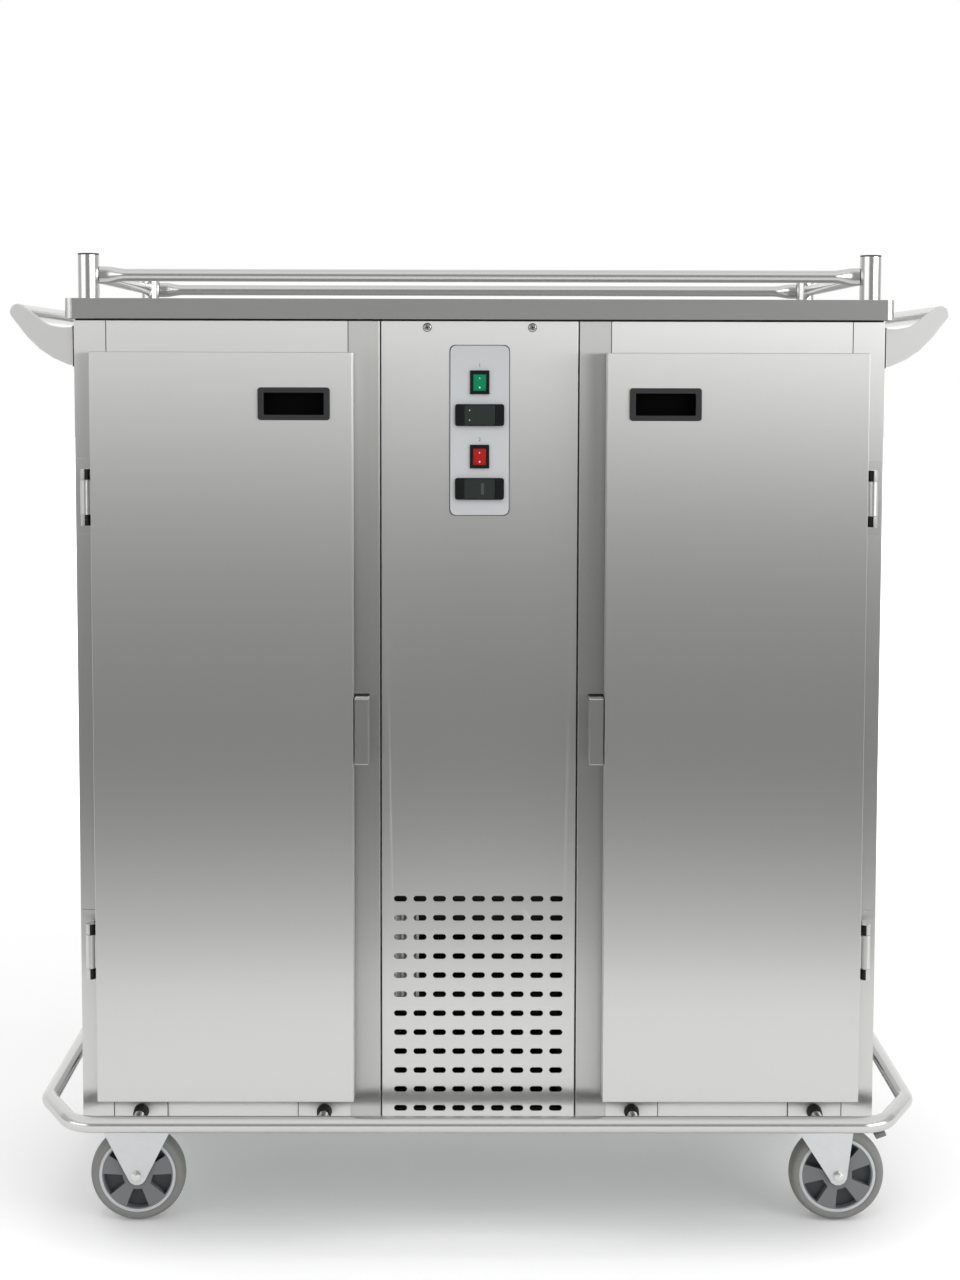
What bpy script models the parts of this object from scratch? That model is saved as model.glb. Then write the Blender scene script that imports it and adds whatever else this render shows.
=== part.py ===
"""A refrigerated food cart: two insulated compartments and a technical column, on four casters.

Lengths are in metres. +Z is up, the doors face -Y, and the floor is at z = 0.
"""

import math

import bmesh
import bpy
from mathutils import Matrix, Vector

# Fits shared by all pieces
SEAT_GAP = 0.0003
RUNNING_GAP = 0.0006
OVERRUN = 0.010
WELD_OVERLAP = 0.002
MERGE_REACH = 0.00001

# Faces round a curve
ROUND_STEPS = 3
PIN_SIDES = 12
BORE_SIDES = 16
KNUCKLE_SIDES = 20
TUBE_SIDES = 20
DISC_SIDES = 24
MOUTH_SIDES = 32
NUT_SIDES = 6
SLOT_END_STEPS = 2
SMOOTH_DEGREES = 35

# Cabinet
CABINET_WIDTH = 1.296
CABINET_DEPTH = 0.700
CABINET_BOTTOM = 0.210
CABINET_TOP = 1.513
COLUMN_WIDTH = 0.320
SKIN = 0.001

# Compartments, behind the doors
CAVITY_INNER_WALL = 0.072
CAVITY_OUTER_WALL = 0.066
CAVITY_FLOOR = 0.0675
CAVITY_CEILING = 0.0775
CAVITY_BACK_WALL = 0.060

# Doors
DOOR_OUTER_INSET = 0.031
DOOR_INNER_INSET = 0.0414
DOOR_BOTTOM_INSET = 0.0385
DOOR_TOP_INSET = 0.0527
DOOR_PROUD = 0.045
DOOR_SKIN = 0.001
DOOR_EDGE_ROUND = 0.0015
DOOR_EDGE_STEPS = 2
GASKET_THICKNESS = 0.0074
GASKET_WIDTH = 0.014
GASKET_INSET = 0.008

# Recessed pulls
PULL_WIDTH = 0.114
PULL_HEIGHT = 0.052
PULL_INSET = 0.0926
PULL_DROP = 0.0813
PULL_FRAME_PROUD = 0.0025
PULL_CUP_WIDTH = 0.096
PULL_CUP_HEIGHT = 0.036
PULL_CUP_DEPTH = 0.024
PULL_WALL = 0.0018
PULL_ROUND = 0.004

# Hinges
HINGE_AXIS_OUT = 0.0105
HINGE_AXIS_PROUD = 0.028
LOWER_HINGE_RISE = 0.245
UPPER_HINGE_DROP = 0.2308
HINGE_PLATE_HEIGHT = 0.122
HINGE_PLATE_WIDTH = 0.024
HINGE_PLATE_SHIFT = 0.006
HINGE_PLATE_THICKNESS = 0.003
HINGE_KNUCKLE_RADIUS = 0.0075
HINGE_KNUCKLE_LENGTH = 0.017
HINGE_MIDDLE_LENGTH = 0.056
HINGE_WEB_THICKNESS = 0.006
HINGE_WEB_MARGIN = 0.001
HINGE_PIN_RADIUS = 0.0034
HINGE_PIN_CLEARANCE = 0.0004

# Catch covers beside the doors' free edges
CATCH_WIDTH = 0.0229
CATCH_HEIGHT = 0.108
CATCH_DEPTH = 0.038
CATCH_DOOR_GAP = 0.0015
CATCH_SHEET = 0.0015
CATCH_WINDOW_HEIGHT = 0.056
CATCH_WINDOW_DEPTH = 0.016
CATCH_ROUND = 0.002

# Front and rear panels of the column
PANEL_SEAM = 0.0025
PANEL_SHEET = 0.0012
PANEL_FLANGE = 0.015
VENT_COLUMNS = 9
VENT_ROWS = 12
VENT_PITCH_X = 0.0318
VENT_PITCH_Z = 0.03175
VENT_RISE = 0.014
SLOT_LENGTH = 0.020
SLOT_HEIGHT = 0.0085
REAR_VENT_LENGTH = 0.220
REAR_VENT_HEIGHT = 0.010
REAR_VENT_ROWS = 7
REAR_VENT_PITCH = 0.030
REAR_VENT_RISE = 0.070

# Control plate and what it carries
CONTROL_PLATE_WIDTH = 0.094
CONTROL_PLATE_DROP = 0.0412
CONTROL_PLATE_HEIGHT = 0.2713
CONTROL_PLATE_THICKNESS = 0.0015
CONTROL_PLATE_ROUND = 0.009
SWITCH_DROPS = (0.2185, 0.0997)
SWITCH_WIDTH = 0.031
SWITCH_HEIGHT = 0.038
SWITCH_BEZEL_PROUD = 0.0025
SWITCH_BODY_WIDTH = 0.0285
SWITCH_BODY_HEIGHT = 0.0355
SWITCH_BODY_DEPTH = 0.028
ROCKER_WIDTH = 0.0206
ROCKER_HEIGHT = 0.0262
ROCKER_SIDE_GAP = 0.0005
ROCKER_END_GAP = 0.0010
ROCKER_POCKET_DEPTH = 0.013
ROCKER_PIVOT_DEPTH = 0.0052
ROCKER_FACE_DEPTH = 0.0058
ROCKER_DISH_SHARE = 0.83
ROCKER_BACK_DEPTH = 0.0050
ROCKER_BACK_HEIGHT = 0.0212
ROCKER_TILT_DEGREES = 9
ROCKER_PIN_RADIUS = 0.0015
ROCKER_PIN_REACH = 0.0014
CONTROLLER_DROPS = (0.2702, 0.1520)
CONTROLLER_WIDTH = 0.0787
CONTROLLER_HEIGHT = 0.035
CONTROLLER_PROUD = 0.004
CONTROLLER_ROUND = 0.004
CONTROLLER_BODY_WIDTH = 0.070
CONTROLLER_BODY_HEIGHT = 0.029
CONTROLLER_BODY_DEPTH = 0.060
CONTROLLER_WINDOW_WIDTH = 0.053
CONTROLLER_WINDOW_HEIGHT = 0.027
CONTROLLER_WINDOW_DEPTH = 0.0012

# Worktop and its gallery
DECK_SIDE_OVERHANG = 0.0115
DECK_FRONT_OVERHANG = 0.020
DECK_THICKNESS = 0.032
DECK_SHEET = 0.0015
DECK_CORNER_ROUND = 0.012
DECK_FIELD_DEPTH = 0.002
DECK_FIELD_INSET_X = 0.060
DECK_FIELD_INSET_Y = 0.055
DECK_RIB_WIDTH = 0.030
DECK_RIBS = 4
DECK_RIB_INSET = 0.0295
DECK_RIB_MARGIN = 0.030
POST_RADIUS = 0.017
POST_HEIGHT = 0.0714
POST_INSET_X = 0.0347
POST_INSET_Y = 0.030
RAIL_RADIUS = 0.010
RAIL_RISE = 0.0374
RAIL_PRESSED_HEIGHT = 0.0265
RAIL_PRESSED_THICKNESS = 0.008
RAIL_PRESSED_LENGTH = 0.016
RAIL_TAPER_LENGTH = 0.024
RAIL_SIDES = 12

# Push handles
HANDLE_REACH = 0.090
HANDLE_ROOT_DROP = 0.0737
HANDLE_RISE = 0.0845
HANDLE_TIP_RADIUS = 0.0129
HANDLE_ARM_THICKNESS = 0.008
HANDLE_ARM_INSET = 0.006
HANDLE_TUBE_RADIUS = 0.0125
HANDLE_FLANGE_THICKNESS = 0.004
HANDLE_FLANGE_WIDTH = 0.034
HANDLE_FLANGE_MARGIN = 0.002
HANDLE_UPPER_SHARES = ((0.686, 0.941), (0.563, 0.828), (0.440, 0.754), (0.218, 0.709), (0.040, 0.709))
HANDLE_LOWER_SHARES = ((0.040, 0.000), (0.100, 0.000), (0.383, 0.131), (0.623, 0.301), (0.851, 0.544))
HANDLE_TIP_START_DEGREES = -42
HANDLE_TIP_END_DEGREES = 132
HANDLE_TIP_STEPS = 7

# Bumper ring
BUMPER_STANDOFF = 0.066
BUMPER_RISE = 0.0094
BUMPER_RADIUS = 0.0135
BUMPER_CORNER_X = 0.061
BUMPER_CORNER_Y = 0.122
BUMPER_BEND_RADIUS = 0.055
BUMPER_BEND_STEPS = 2
BUMPER_SIDES_RESOLUTION = 3
BUMPER_STUB_RADIUS = 0.010
BUMPER_PAD_WIDTH = 0.086
BUMPER_PAD_HEIGHT = 0.030
BUMPER_PAD_RISE = 0.005
BUMPER_PAD_THICKNESS = 0.003
BUMPER_FRONT_STUB_INSETS = (0.396, 0.096)

# Base frame
BASE_THICKNESS = 0.020
BASE_INSET = 0.003
BASE_SHEET = 0.002
BASE_RIB_WIDTH = 0.030
BASE_PAD_LENGTH = 0.120
BASE_PAD_WIDTH = 0.100

# Casters
WHEEL_RADIUS = 0.080
TYRE_WIDTH = 0.038
TYRE_SHOULDER = 0.006
TYRE_CROWN_DROP = 0.0015
HUB_RADIUS = 0.0645
HUB_WIDTH = 0.034
HUB_BOSS_RADIUS = 0.018
HUB_BOSS_WIDTH = 0.041
HUB_BORE_CLEARANCE = 0.0004
HUB_POCKETS = 5
FIXED_HUB_START_DEGREES = 270
SWIVEL_HUB_START_DEGREES = 287
HUB_POCKET_SPREAD_DEGREES = 36
HUB_POCKET_OUTER = 0.056
HUB_POCKET_INNER = 0.024
HUB_POCKET_DEPTH = 0.012
HUB_POCKET_STEPS = 3
WHEEL_STEPS = 24
CASTER_INSET_X = 0.075
CASTER_INSET_Y = 0.098
SWIVEL_TRAIL = 0.034
FORK_INNER_WIDTH = 0.043
FORK_SHEET = 0.003
FORK_TIP_RADIUS = 0.0155
FIXED_FORK_TIP_DEGREES = (210, 330)
SWIVEL_FORK_TIP_DEGREES = (195, 345)
FORK_TIP_STEPS = 5
FIXED_FORK_SHOULDER = 0.032
AXLE_RADIUS = 0.005
AXLE_NUT_RADIUS = 0.0085
AXLE_NUT_LENGTH = 0.006
CASTER_PLATE_LENGTH = 0.110
CASTER_PLATE_WIDTH = 0.085
SWIVEL_RACE_RADIUS = 0.033
SWIVEL_RACE_HEIGHT = 0.0125
SWIVEL_CROWN_RADIUS = 0.037
SWIVEL_CROWN_HEIGHT = 0.0078
SWIVEL_FORK_LEADING = 0.034
SWIVEL_FORK_TRAILING = 0.0155
KINGPIN_RADIUS = 0.006
KINGPIN_CLEARANCE = 0.0004
KINGPIN_NUT_RADIUS = 0.0095
KINGPIN_NUT_HEIGHT = 0.0060

# Brake pedals
PEDAL_PIVOT_FORWARD = 0.055
PEDAL_PIVOT_DROP = 0.0033
PEDAL_PIN_RADIUS = 0.0025
PEDAL_PIN_CLEARANCE = 0.0004
PEDAL_EYE_RADIUS = 0.0055
PEDAL_LUG_RADIUS = 0.006
PEDAL_LUG_DEGREES = (-30, 90)
PEDAL_LUG_STEPS = 4
PEDAL_LENGTH = 0.058
PEDAL_WIDTH = 0.034
PEDAL_THICKNESS = 0.004
PEDAL_SLOPE_DEGREES = 16
PEDAL_PAD_LENGTH = 0.018
PEDAL_PAD_THICKNESS = 0.010
PEDAL_PAD_WIDTH = 0.044
PEDAL_SHOE_LENGTH = 0.012
PEDAL_SHOE_WIDTH = 0.0255
PEDAL_SHOE_DROP = 0.007
PEDAL_SHOE_START = 0.014

# Tray racks
RACK_CLEARANCE = 0.002
RACK_SHEET = 0.0015
RACK_COIL_GAP = 0.0377
RACK_FRONT_INSET = 0.012
RACK_MARGIN = 0.030
RACK_LEVELS = 8
RUNNER_WIDTH = 0.018
RUNNER_THICKNESS = 0.002
RACK_TIE_HEIGHT = 0.030
RACK_TIE_THICKNESS = 0.003
RACK_FOOT_DROP = 0.0297

# Refrigeration
EVAPORATOR_SIDE_GAP = 0.025
EVAPORATOR_HEIGHT = 0.360
EVAPORATOR_DEPTH = 0.045
EVAPORATOR_TOP_MARGIN = 0.060
EVAPORATOR_FINS = 12
FIN_GROOVE_DEPTH = 0.012
FIN_GROOVE_SHARE = 0.5
CONDENSER_WIDTH = 0.280
CONDENSER_HEIGHT = 0.300
CONDENSER_DEPTH = 0.044
CONDENSER_FRONT_GAP = 0.030
CONDENSER_FINS = 12
SHROUD_DEPTH = 0.050
SHROUD_WALL = 0.004
FAN_RADIUS = 0.115
FAN_TIP_GAP = 0.006
FAN_HUB_RADIUS = 0.030
FAN_HUB_LENGTH = 0.024
FAN_BLADES = 5
FAN_BLADE_CHORD = 0.060
FAN_BLADE_THICKNESS = 0.002
FAN_BLADE_PITCH_DEGREES = 28
FAN_SHAFT_RADIUS = 0.004
FAN_SHAFT_CLEARANCE = 0.0003
FAN_PLANE_GAP = 0.018
FAN_SHAFT_GAP = 0.003
MOTOR_RADIUS = 0.038
MOTOR_LENGTH = 0.055
MOTOR_BAR_WIDTH = 0.024
MOTOR_BAR_THICKNESS = 0.004
COMPRESSOR_RADIUS = 0.080
COMPRESSOR_HEIGHT = 0.190
COMPRESSOR_INSET = 0.180
COMPRESSOR_PLATE_LENGTH = 0.200
COMPRESSOR_PLATE_THICKNESS = 0.004
COMPRESSOR_SEAM_PROUD = 0.004
COMPRESSOR_SEAM_HEIGHT = 0.008
COMPRESSOR_FOOT_HEIGHT = 0.014
COMPRESSOR_SHARES = ((0.00, 1.00), (0.55, 0.97), (0.85, 0.86), (1.00, 0.66))
ELECTRIC_BOX_WIDTH = 0.070
ELECTRIC_BOX_DEPTH = 0.180
ELECTRIC_BOX_HEIGHT = 0.220
ELECTRIC_BOX_DROP = 0.073
ELECTRIC_BOX_INSET = 0.270
ELECTRIC_BOX_ROUND = 0.004

# Places that follow from the sizes above
HALF_CABINET = CABINET_WIDTH / 2
HALF_COLUMN = COLUMN_WIDTH / 2
FRONT = -CABINET_DEPTH / 2
BACK = CABINET_DEPTH / 2
LEFT, RIGHT = -1, 1
CAVITY_OUTER_X = HALF_CABINET - CAVITY_OUTER_WALL
CAVITY_INNER_X = HALF_COLUMN + CAVITY_INNER_WALL
CAVITY_Z = (CABINET_BOTTOM + CAVITY_FLOOR, CABINET_TOP - CAVITY_CEILING)
CAVITY_BACK = BACK - CAVITY_BACK_WALL
DOOR_OUTER_EDGE = HALF_CABINET - DOOR_OUTER_INSET
DOOR_INNER_EDGE = HALF_COLUMN + DOOR_INNER_INSET
DOOR_BOTTOM = CABINET_BOTTOM + DOOR_BOTTOM_INSET
DOOR_TOP = CABINET_TOP - DOOR_TOP_INSET
DOOR_FRONT = FRONT - DOOR_PROUD
DOOR_BACK = FRONT - SEAT_GAP - GASKET_THICKNESS - SEAT_GAP
PULL_CENTRE_X = DOOR_INNER_EDGE + PULL_INSET
PULL_CENTRE_Z = DOOR_TOP - PULL_DROP
HINGE_AXIS_X = DOOR_OUTER_EDGE + HINGE_AXIS_OUT
HINGE_AXIS_Y = FRONT - HINGE_AXIS_PROUD
HINGE_HEIGHTS = (DOOR_BOTTOM + LOWER_HINGE_RISE, DOOR_TOP - UPPER_HINGE_DROP)
CATCH_CENTRE_Z = (DOOR_BOTTOM + DOOR_TOP) / 2
DECK_WIDTH = CABINET_WIDTH + 2 * DECK_SIDE_OVERHANG
DECK_DEPTH = CABINET_DEPTH + 2 * DECK_FRONT_OVERHANG
DECK_BOTTOM = CABINET_TOP + SEAT_GAP
DECK_TOP = DECK_BOTTOM + DECK_THICKNESS
POST_X = DECK_WIDTH / 2 - POST_INSET_X
POST_Y = DECK_DEPTH / 2 - POST_INSET_Y
RAIL_Z = DECK_TOP + RAIL_RISE
HANDLE_ROOT_BOTTOM = CABINET_TOP - HANDLE_ROOT_DROP
BUMPER_HEIGHT = CABINET_BOTTOM + BUMPER_RISE
BASE_TOP = CABINET_BOTTOM - SEAT_GAP
BASE_BOTTOM = BASE_TOP - BASE_THICKNESS
PANEL_HALF_WIDTH = HALF_COLUMN - PANEL_SEAM
CONTROL_PLATE_TOP = CABINET_TOP - CONTROL_PLATE_DROP
CONTROL_PLATE_BOTTOM = CONTROL_PLATE_TOP - CONTROL_PLATE_HEIGHT
CONTROL_PLATE_BACK = FRONT - SEAT_GAP
CONTROL_PLATE_FRONT = CONTROL_PLATE_BACK - CONTROL_PLATE_THICKNESS
BEZEL_BACK = CONTROL_PLATE_FRONT - SEAT_GAP
SWITCH_HEIGHTS = [CABINET_TOP - drop for drop in SWITCH_DROPS]
CONTROLLER_HEIGHTS = [CABINET_TOP - drop for drop in CONTROLLER_DROPS]
CASTER_X = HALF_CABINET - CASTER_INSET_X
CASTER_Y = BACK - CASTER_INSET_Y
FORK_PLATE_TOP = BASE_BOTTOM - SEAT_GAP
FORK_PLATE_BOTTOM = FORK_PLATE_TOP - FORK_SHEET
CROWN_TOP = FORK_PLATE_BOTTOM - SWIVEL_RACE_HEIGHT - RUNNING_GAP
CROWN_BOTTOM = CROWN_TOP - SWIVEL_CROWN_HEIGHT
PEDAL_PIVOT_HEIGHT = CROWN_TOP - PEDAL_PIVOT_DROP
EVAPORATOR_FRONT = CAVITY_BACK - SEAT_GAP - EVAPORATOR_DEPTH
COMPRESSOR_Y = BACK - COMPRESSOR_INSET

PARTS = "refrigerated_food_cart"
CUTTERS = "cutters"
STEEL, PRESSED_STEEL, ZINC, ALUMINIUM = "brushed_steel", "plain_steel", "zinc_plate", "aluminium"
INSULATION, BLACK_PLASTIC, GREY_PLASTIC = "insulation", "black_plastic", "grey_plastic"
TYRE_RUBBER, SEAL_RUBBER, GREEN_CAP, RED_CAP = "tyre_rubber", "seal_rubber", "green_cap", "red_cap"
BLACK_ENAMEL = "black_enamel"
FINISHES = {
    STEEL: ((0.62, 0.62, 0.60), 0.32, 1.0),
    PRESSED_STEEL: ((0.70, 0.70, 0.69), 0.25, 1.0),
    ZINC: ((0.74, 0.75, 0.74), 0.38, 1.0),
    ALUMINIUM: ((0.76, 0.77, 0.77), 0.40, 1.0),
    INSULATION: ((0.66, 0.66, 0.64), 0.45, 0.0),
    BLACK_PLASTIC: ((0.02, 0.02, 0.022), 0.45, 0.0),
    GREY_PLASTIC: ((0.11, 0.11, 0.115), 0.55, 0.0),
    TYRE_RUBBER: ((0.17, 0.17, 0.17), 0.75, 0.0),
    SEAL_RUBBER: ((0.20, 0.20, 0.20), 0.70, 0.0),
    GREEN_CAP: ((0.0, 0.30, 0.14), 0.30, 0.0),
    RED_CAP: ((0.55, 0.02, 0.02), 0.30, 0.0),
    BLACK_ENAMEL: ((0.03, 0.03, 0.03), 0.35, 0.0),
}


# Scene and materials


def clear_scene():
    for obj in list(bpy.data.objects):
        bpy.data.objects.remove(obj)
    for name in (PARTS, CUTTERS):
        bpy.context.scene.collection.children.link(bpy.data.collections.new(name))


def finish_named(name):
    material = bpy.data.materials.get(name)
    if material is None:
        colour, roughness, metallic = FINISHES[name]
        material = bpy.data.materials.new(name)
        material.use_nodes = True
        shader = material.node_tree.nodes["Principled BSDF"]
        shader.inputs["Base Color"].default_value = (*colour, 1)
        shader.inputs["Roughness"].default_value = roughness
        shader.inputs["Metallic"].default_value = metallic
        material.diffuse_color = (*colour, 1)
    return material


def part(obj, finish):
    """Puts an object in the cart, with its finish."""
    bpy.data.collections[PARTS].objects.link(obj)
    obj.data.materials.clear()
    obj.data.materials.append(finish_named(finish))
    return obj


def helper(obj):
    """Puts a shape that cuts or joins another among the hidden ones."""
    bpy.data.collections[CUTTERS].objects.link(obj)
    obj.hide_render = True
    obj.display_type = "WIRE"
    return obj


def combine(target, other, operation):
    modifier = target.modifiers.new(f"{operation.lower()} {other.name}", "BOOLEAN")
    modifier.operation = operation
    modifier.solver = "EXACT"
    modifier.object = helper(other)
    return target


def join(target, *others):
    for other in others:
        combine(target, other, "UNION")
    return target


def cut(target, *others):
    for other in others:
        combine(target, other, "DIFFERENCE")
    return target


def empty_at(name, place):
    empty = bpy.data.objects.new(name, None)
    empty.location = place
    bpy.data.collections[PARTS].objects.link(empty)
    return empty


def carry(empty, *pieces):
    """Hangs pieces that move together on the empty at their joint."""
    bpy.context.view_layer.update()
    for piece in pieces:
        piece.parent = empty
        piece.matrix_parent_inverse = empty.matrix_world.inverted()


# Shapes


def span(side, near, far):
    """A pair of X places mirrored to the given side, lowest first."""
    return tuple(sorted((side * near, side * far)))


def around(centre, width):
    return centre - width / 2, centre + width / 2


def object_from(name, shape):
    mesh = bpy.data.meshes.new(name)
    shape.to_mesh(mesh)
    shape.free()
    return bpy.data.objects.new(name, mesh)


def smooth(obj):
    obj.data.shade_smooth()
    obj.data.set_sharp_from_angle(angle=math.radians(SMOOTH_DEGREES))
    return obj


def box(name, x, y, z):
    shape = bmesh.new()
    bmesh.ops.create_cube(shape, size=1)
    bmesh.ops.scale(shape, vec=(x[1] - x[0], y[1] - y[0], z[1] - z[0]), verts=shape.verts)
    obj = object_from(name, shape)
    obj.location = ((x[0] + x[1]) / 2, (y[0] + y[1]) / 2, (z[0] + z[1]) / 2)
    return obj


def rounded_box(name, x, y, z, radius, axis):
    """A box whose edges along one axis are rounded."""
    obj = box(name, x, y, z)
    shape = bmesh.new()
    shape.from_mesh(obj.data)
    along = [e for e in shape.edges if abs((e.verts[1].co - e.verts[0].co).normalized()[axis]) > 0.5]
    bmesh.ops.bevel(
        shape, geom=along, offset=radius, segments=ROUND_STEPS, affect="EDGES", profile=0.5, material=-1
    )
    shape.to_mesh(obj.data)
    shape.free()
    return obj


def cylinder(name, radius, start, end, sides=BORE_SIDES):
    start, end = Vector(start), Vector(end)
    shape = bmesh.new()
    bmesh.ops.create_cone(
        shape,
        cap_ends=True,
        segments=sides,
        radius1=radius,
        radius2=radius,
        depth=(end - start).length,
    )
    obj = object_from(name, shape)
    obj.location = (start + end) / 2
    obj.rotation_euler = (end - start).to_track_quat("Z", "Y").to_euler()
    return smooth(obj)


def turned(name, profile, place, axis, steps, closed=False):
    """A profile of (radius, height) points, top to bottom, turned about an axis through place."""
    mesh = bpy.data.meshes.new(name)
    points = [(radius, 0, height) for radius, height in profile]
    edges = [(i, i + 1) for i in range(len(points) - 1)]
    if closed:
        edges.append((len(points) - 1, 0))
    mesh.from_pydata(points, edges, [])
    obj = bpy.data.objects.new(name, mesh)
    obj.location = place
    obj.rotation_euler = Vector(axis).to_track_quat("Z", "Y").to_euler()
    screw = obj.modifiers.new("turn", "SCREW")
    screw.axis = "Z"
    screw.angle = math.tau
    screw.steps = steps
    screw.render_steps = steps
    screw.use_merge_vertices = True
    screw.merge_threshold = MERGE_REACH
    screw.use_smooth_shade = True
    return obj


def as_mesh(obj):
    """The evaluated object as a mesh that can cut and be cut."""
    bpy.data.collections[CUTTERS].objects.link(obj)
    bpy.context.view_layer.update()
    graph = bpy.context.evaluated_depsgraph_get()
    mesh = bpy.data.meshes.new_from_object(obj.evaluated_get(graph))
    shape = bmesh.new()
    shape.from_mesh(mesh)
    bmesh.ops.remove_doubles(shape, verts=shape.verts, dist=MERGE_REACH)
    bmesh.ops.recalc_face_normals(shape, faces=shape.faces)
    shape.to_mesh(mesh)
    shape.free()
    name = obj.name
    obj.name = f"{name}_source"
    solid = bpy.data.objects.new(name, mesh)
    solid.matrix_world = obj.matrix_world.copy()
    bpy.data.objects.remove(obj)
    return solid


def plate(name, outline, y):
    """A flat outline of (x, z) points, from y[0] to y[1]."""
    curve = bpy.data.curves.new(name, "CURVE")
    curve.dimensions = "2D"
    curve.fill_mode = "BOTH"
    curve.extrude = (y[1] - y[0]) / 2
    spline = curve.splines.new("POLY")
    spline.points.add(len(outline) - 1)
    for point, (x, z) in zip(spline.points, outline):
        point.co = (x, z, 0, 1)
    spline.use_cyclic_u = True
    obj = bpy.data.objects.new(name, curve)
    obj.location = (0, (y[0] + y[1]) / 2, 0)
    obj.rotation_euler = (math.pi / 2, 0, 0)
    return as_mesh(obj)


def pipe(name, points, radius, sides_resolution, closed=False):
    """A round tube along the points."""
    curve = bpy.data.curves.new(name, "CURVE")
    curve.dimensions = "3D"
    curve.bevel_depth = radius
    curve.bevel_resolution = sides_resolution
    curve.use_fill_caps = True
    spline = curve.splines.new("POLY")
    spline.points.add(len(points) - 1)
    for point, place in zip(spline.points, points):
        point.co = (*place, 1)
    spline.use_cyclic_u = closed
    return as_mesh(bpy.data.objects.new(name, curve))


def arc(centre, radius, start, end, steps):
    """Points of an arc in a plane, with angles in degrees."""
    angles = [math.radians(start + (end - start) * i / steps) for i in range(steps + 1)]
    return [(centre[0] + radius * math.cos(a), centre[1] + radius * math.sin(a)) for a in angles]


def loft(name, rings):
    """Rings of equally many points, bridged in order and closed at both ends."""
    shape = bmesh.new()
    loops = [[shape.verts.new(point) for point in ring] for ring in rings]
    for ring in loops:
        for i, vert in enumerate(ring):
            shape.edges.new((vert, ring[(i + 1) % len(ring)]))
    for first, second in zip(loops, loops[1:]):
        for i in range(len(first)):
            j = (i + 1) % len(first)
            shape.faces.new((first[i], first[j], second[j], second[i]))
    shape.faces.new(loops[0])
    shape.faces.new(loops[-1])
    bmesh.ops.recalc_face_normals(shape, faces=shape.faces)
    return smooth(object_from(name, shape))


def slots(name, columns, rows, pitch_x, pitch_z, lowest, length, height, y):
    """Stadium-shaped cutters in a grid that is centred on the column."""
    half, radius = (length - height) / 2, height / 2
    shape = bmesh.new()
    for column in range(columns):
        for row in range(rows):
            x = (column - (columns - 1) / 2) * pitch_x
            z = lowest + row * pitch_z
            ring = arc((x + half, z), radius, -90, 90, SLOT_END_STEPS)
            ring += arc((x - half, z), radius, 90, 270, SLOT_END_STEPS)
            face = shape.faces.new([shape.verts.new((px, y[0], pz)) for px, pz in ring])
            extruded = bmesh.ops.extrude_face_region(shape, geom=[face])["geom"]
            moved = [v for v in extruded if isinstance(v, bmesh.types.BMVert)]
            bmesh.ops.translate(shape, vec=(0, y[1] - y[0], 0), verts=moved)
    bmesh.ops.recalc_face_normals(shape, faces=shape.faces)
    return object_from(name, shape)


def tray(name, x, y, z, sheet, open_side, radius=0):
    """A folded sheet box that is open toward one side, given as (axis, direction)."""
    outer = rounded_box(name, x, y, z, radius, 2) if radius else box(name, x, y, z)
    inner = [[near + sheet, far - sheet] for near, far in (x, y, z)]
    axis, direction = open_side
    if direction > 0:
        inner[axis][1] += sheet + OVERRUN
    else:
        inner[axis][0] -= sheet + OVERRUN
    return cut(outer, box(f"{name}_hollow", *inner))


# Cabinet


def base_frame():
    x = around(0, CABINET_WIDTH - 2 * BASE_INSET)
    y = around(0, CABINET_DEPTH - 2 * BASE_INSET)
    frame = tray("base_frame", x, y, (BASE_BOTTOM, BASE_TOP), BASE_SHEET, (2, -1))
    inside = (BASE_BOTTOM, BASE_TOP - BASE_SHEET / 2)
    for side in (LEFT, RIGHT):
        rib = around(side * HALF_COLUMN, BASE_RIB_WIDTH)
        edge = (y[0] + BASE_SHEET / 2, y[1] - BASE_SHEET / 2)
        join(frame, box(f"base_rib_{side}", rib, edge, inside))
        for end in (-1, 1):
            pad_x = around(side * CASTER_X, BASE_PAD_LENGTH)
            pad_y = around(end * CASTER_Y, BASE_PAD_WIDTH)
            join(frame, box(f"base_pad_{side}_{end}", pad_x, pad_y, inside))
    part(frame, ZINC)


def compartment(side, word):
    """Outer skin and insulation of one compartment."""
    x = span(side, HALF_COLUMN, HALF_CABINET)
    y = (FRONT, BACK)
    z = (CABINET_BOTTOM, CABINET_TOP)
    opening = span(side, CAVITY_INNER_X, CAVITY_OUTER_X)
    inside = [(near + SKIN, far - SKIN) for near, far in (x, y, z)]
    casing = box(f"{word}_casing", x, y, z)
    cut(casing, box(f"{word}_casing_hollow", *inside))
    cut(casing, box(f"{word}_casing_opening", opening, (FRONT - OVERRUN, FRONT + OVERRUN), CAVITY_Z))
    part(casing, STEEL)
    filled = [(near + SEAT_GAP, far - SEAT_GAP) for near, far in inside]
    insulation = box(f"{word}_insulation", *filled)
    cavity = (FRONT - OVERRUN, CAVITY_BACK)
    cut(insulation, box(f"{word}_cavity", opening, cavity, CAVITY_Z))
    part(insulation, INSULATION)


def switch_holes(name, extra, y):
    """Cutters for what passes through the control plate and the panel behind it."""
    cutters = []
    for number, z in enumerate(SWITCH_HEIGHTS):
        x_range = around(0, SWITCH_BODY_WIDTH + 2 * extra)
        z_range = around(z, SWITCH_BODY_HEIGHT + 2 * extra)
        cutters.append(box(f"{name}_switch_hole_{number}", x_range, y, z_range))
    for number, z in enumerate(CONTROLLER_HEIGHTS):
        x_range = around(0, CONTROLLER_BODY_WIDTH + 2 * extra)
        z_range = around(z, CONTROLLER_BODY_HEIGHT + 2 * extra)
        cutters.append(box(f"{name}_controller_hole_{number}", x_range, y, z_range))
    return cutters


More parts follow.
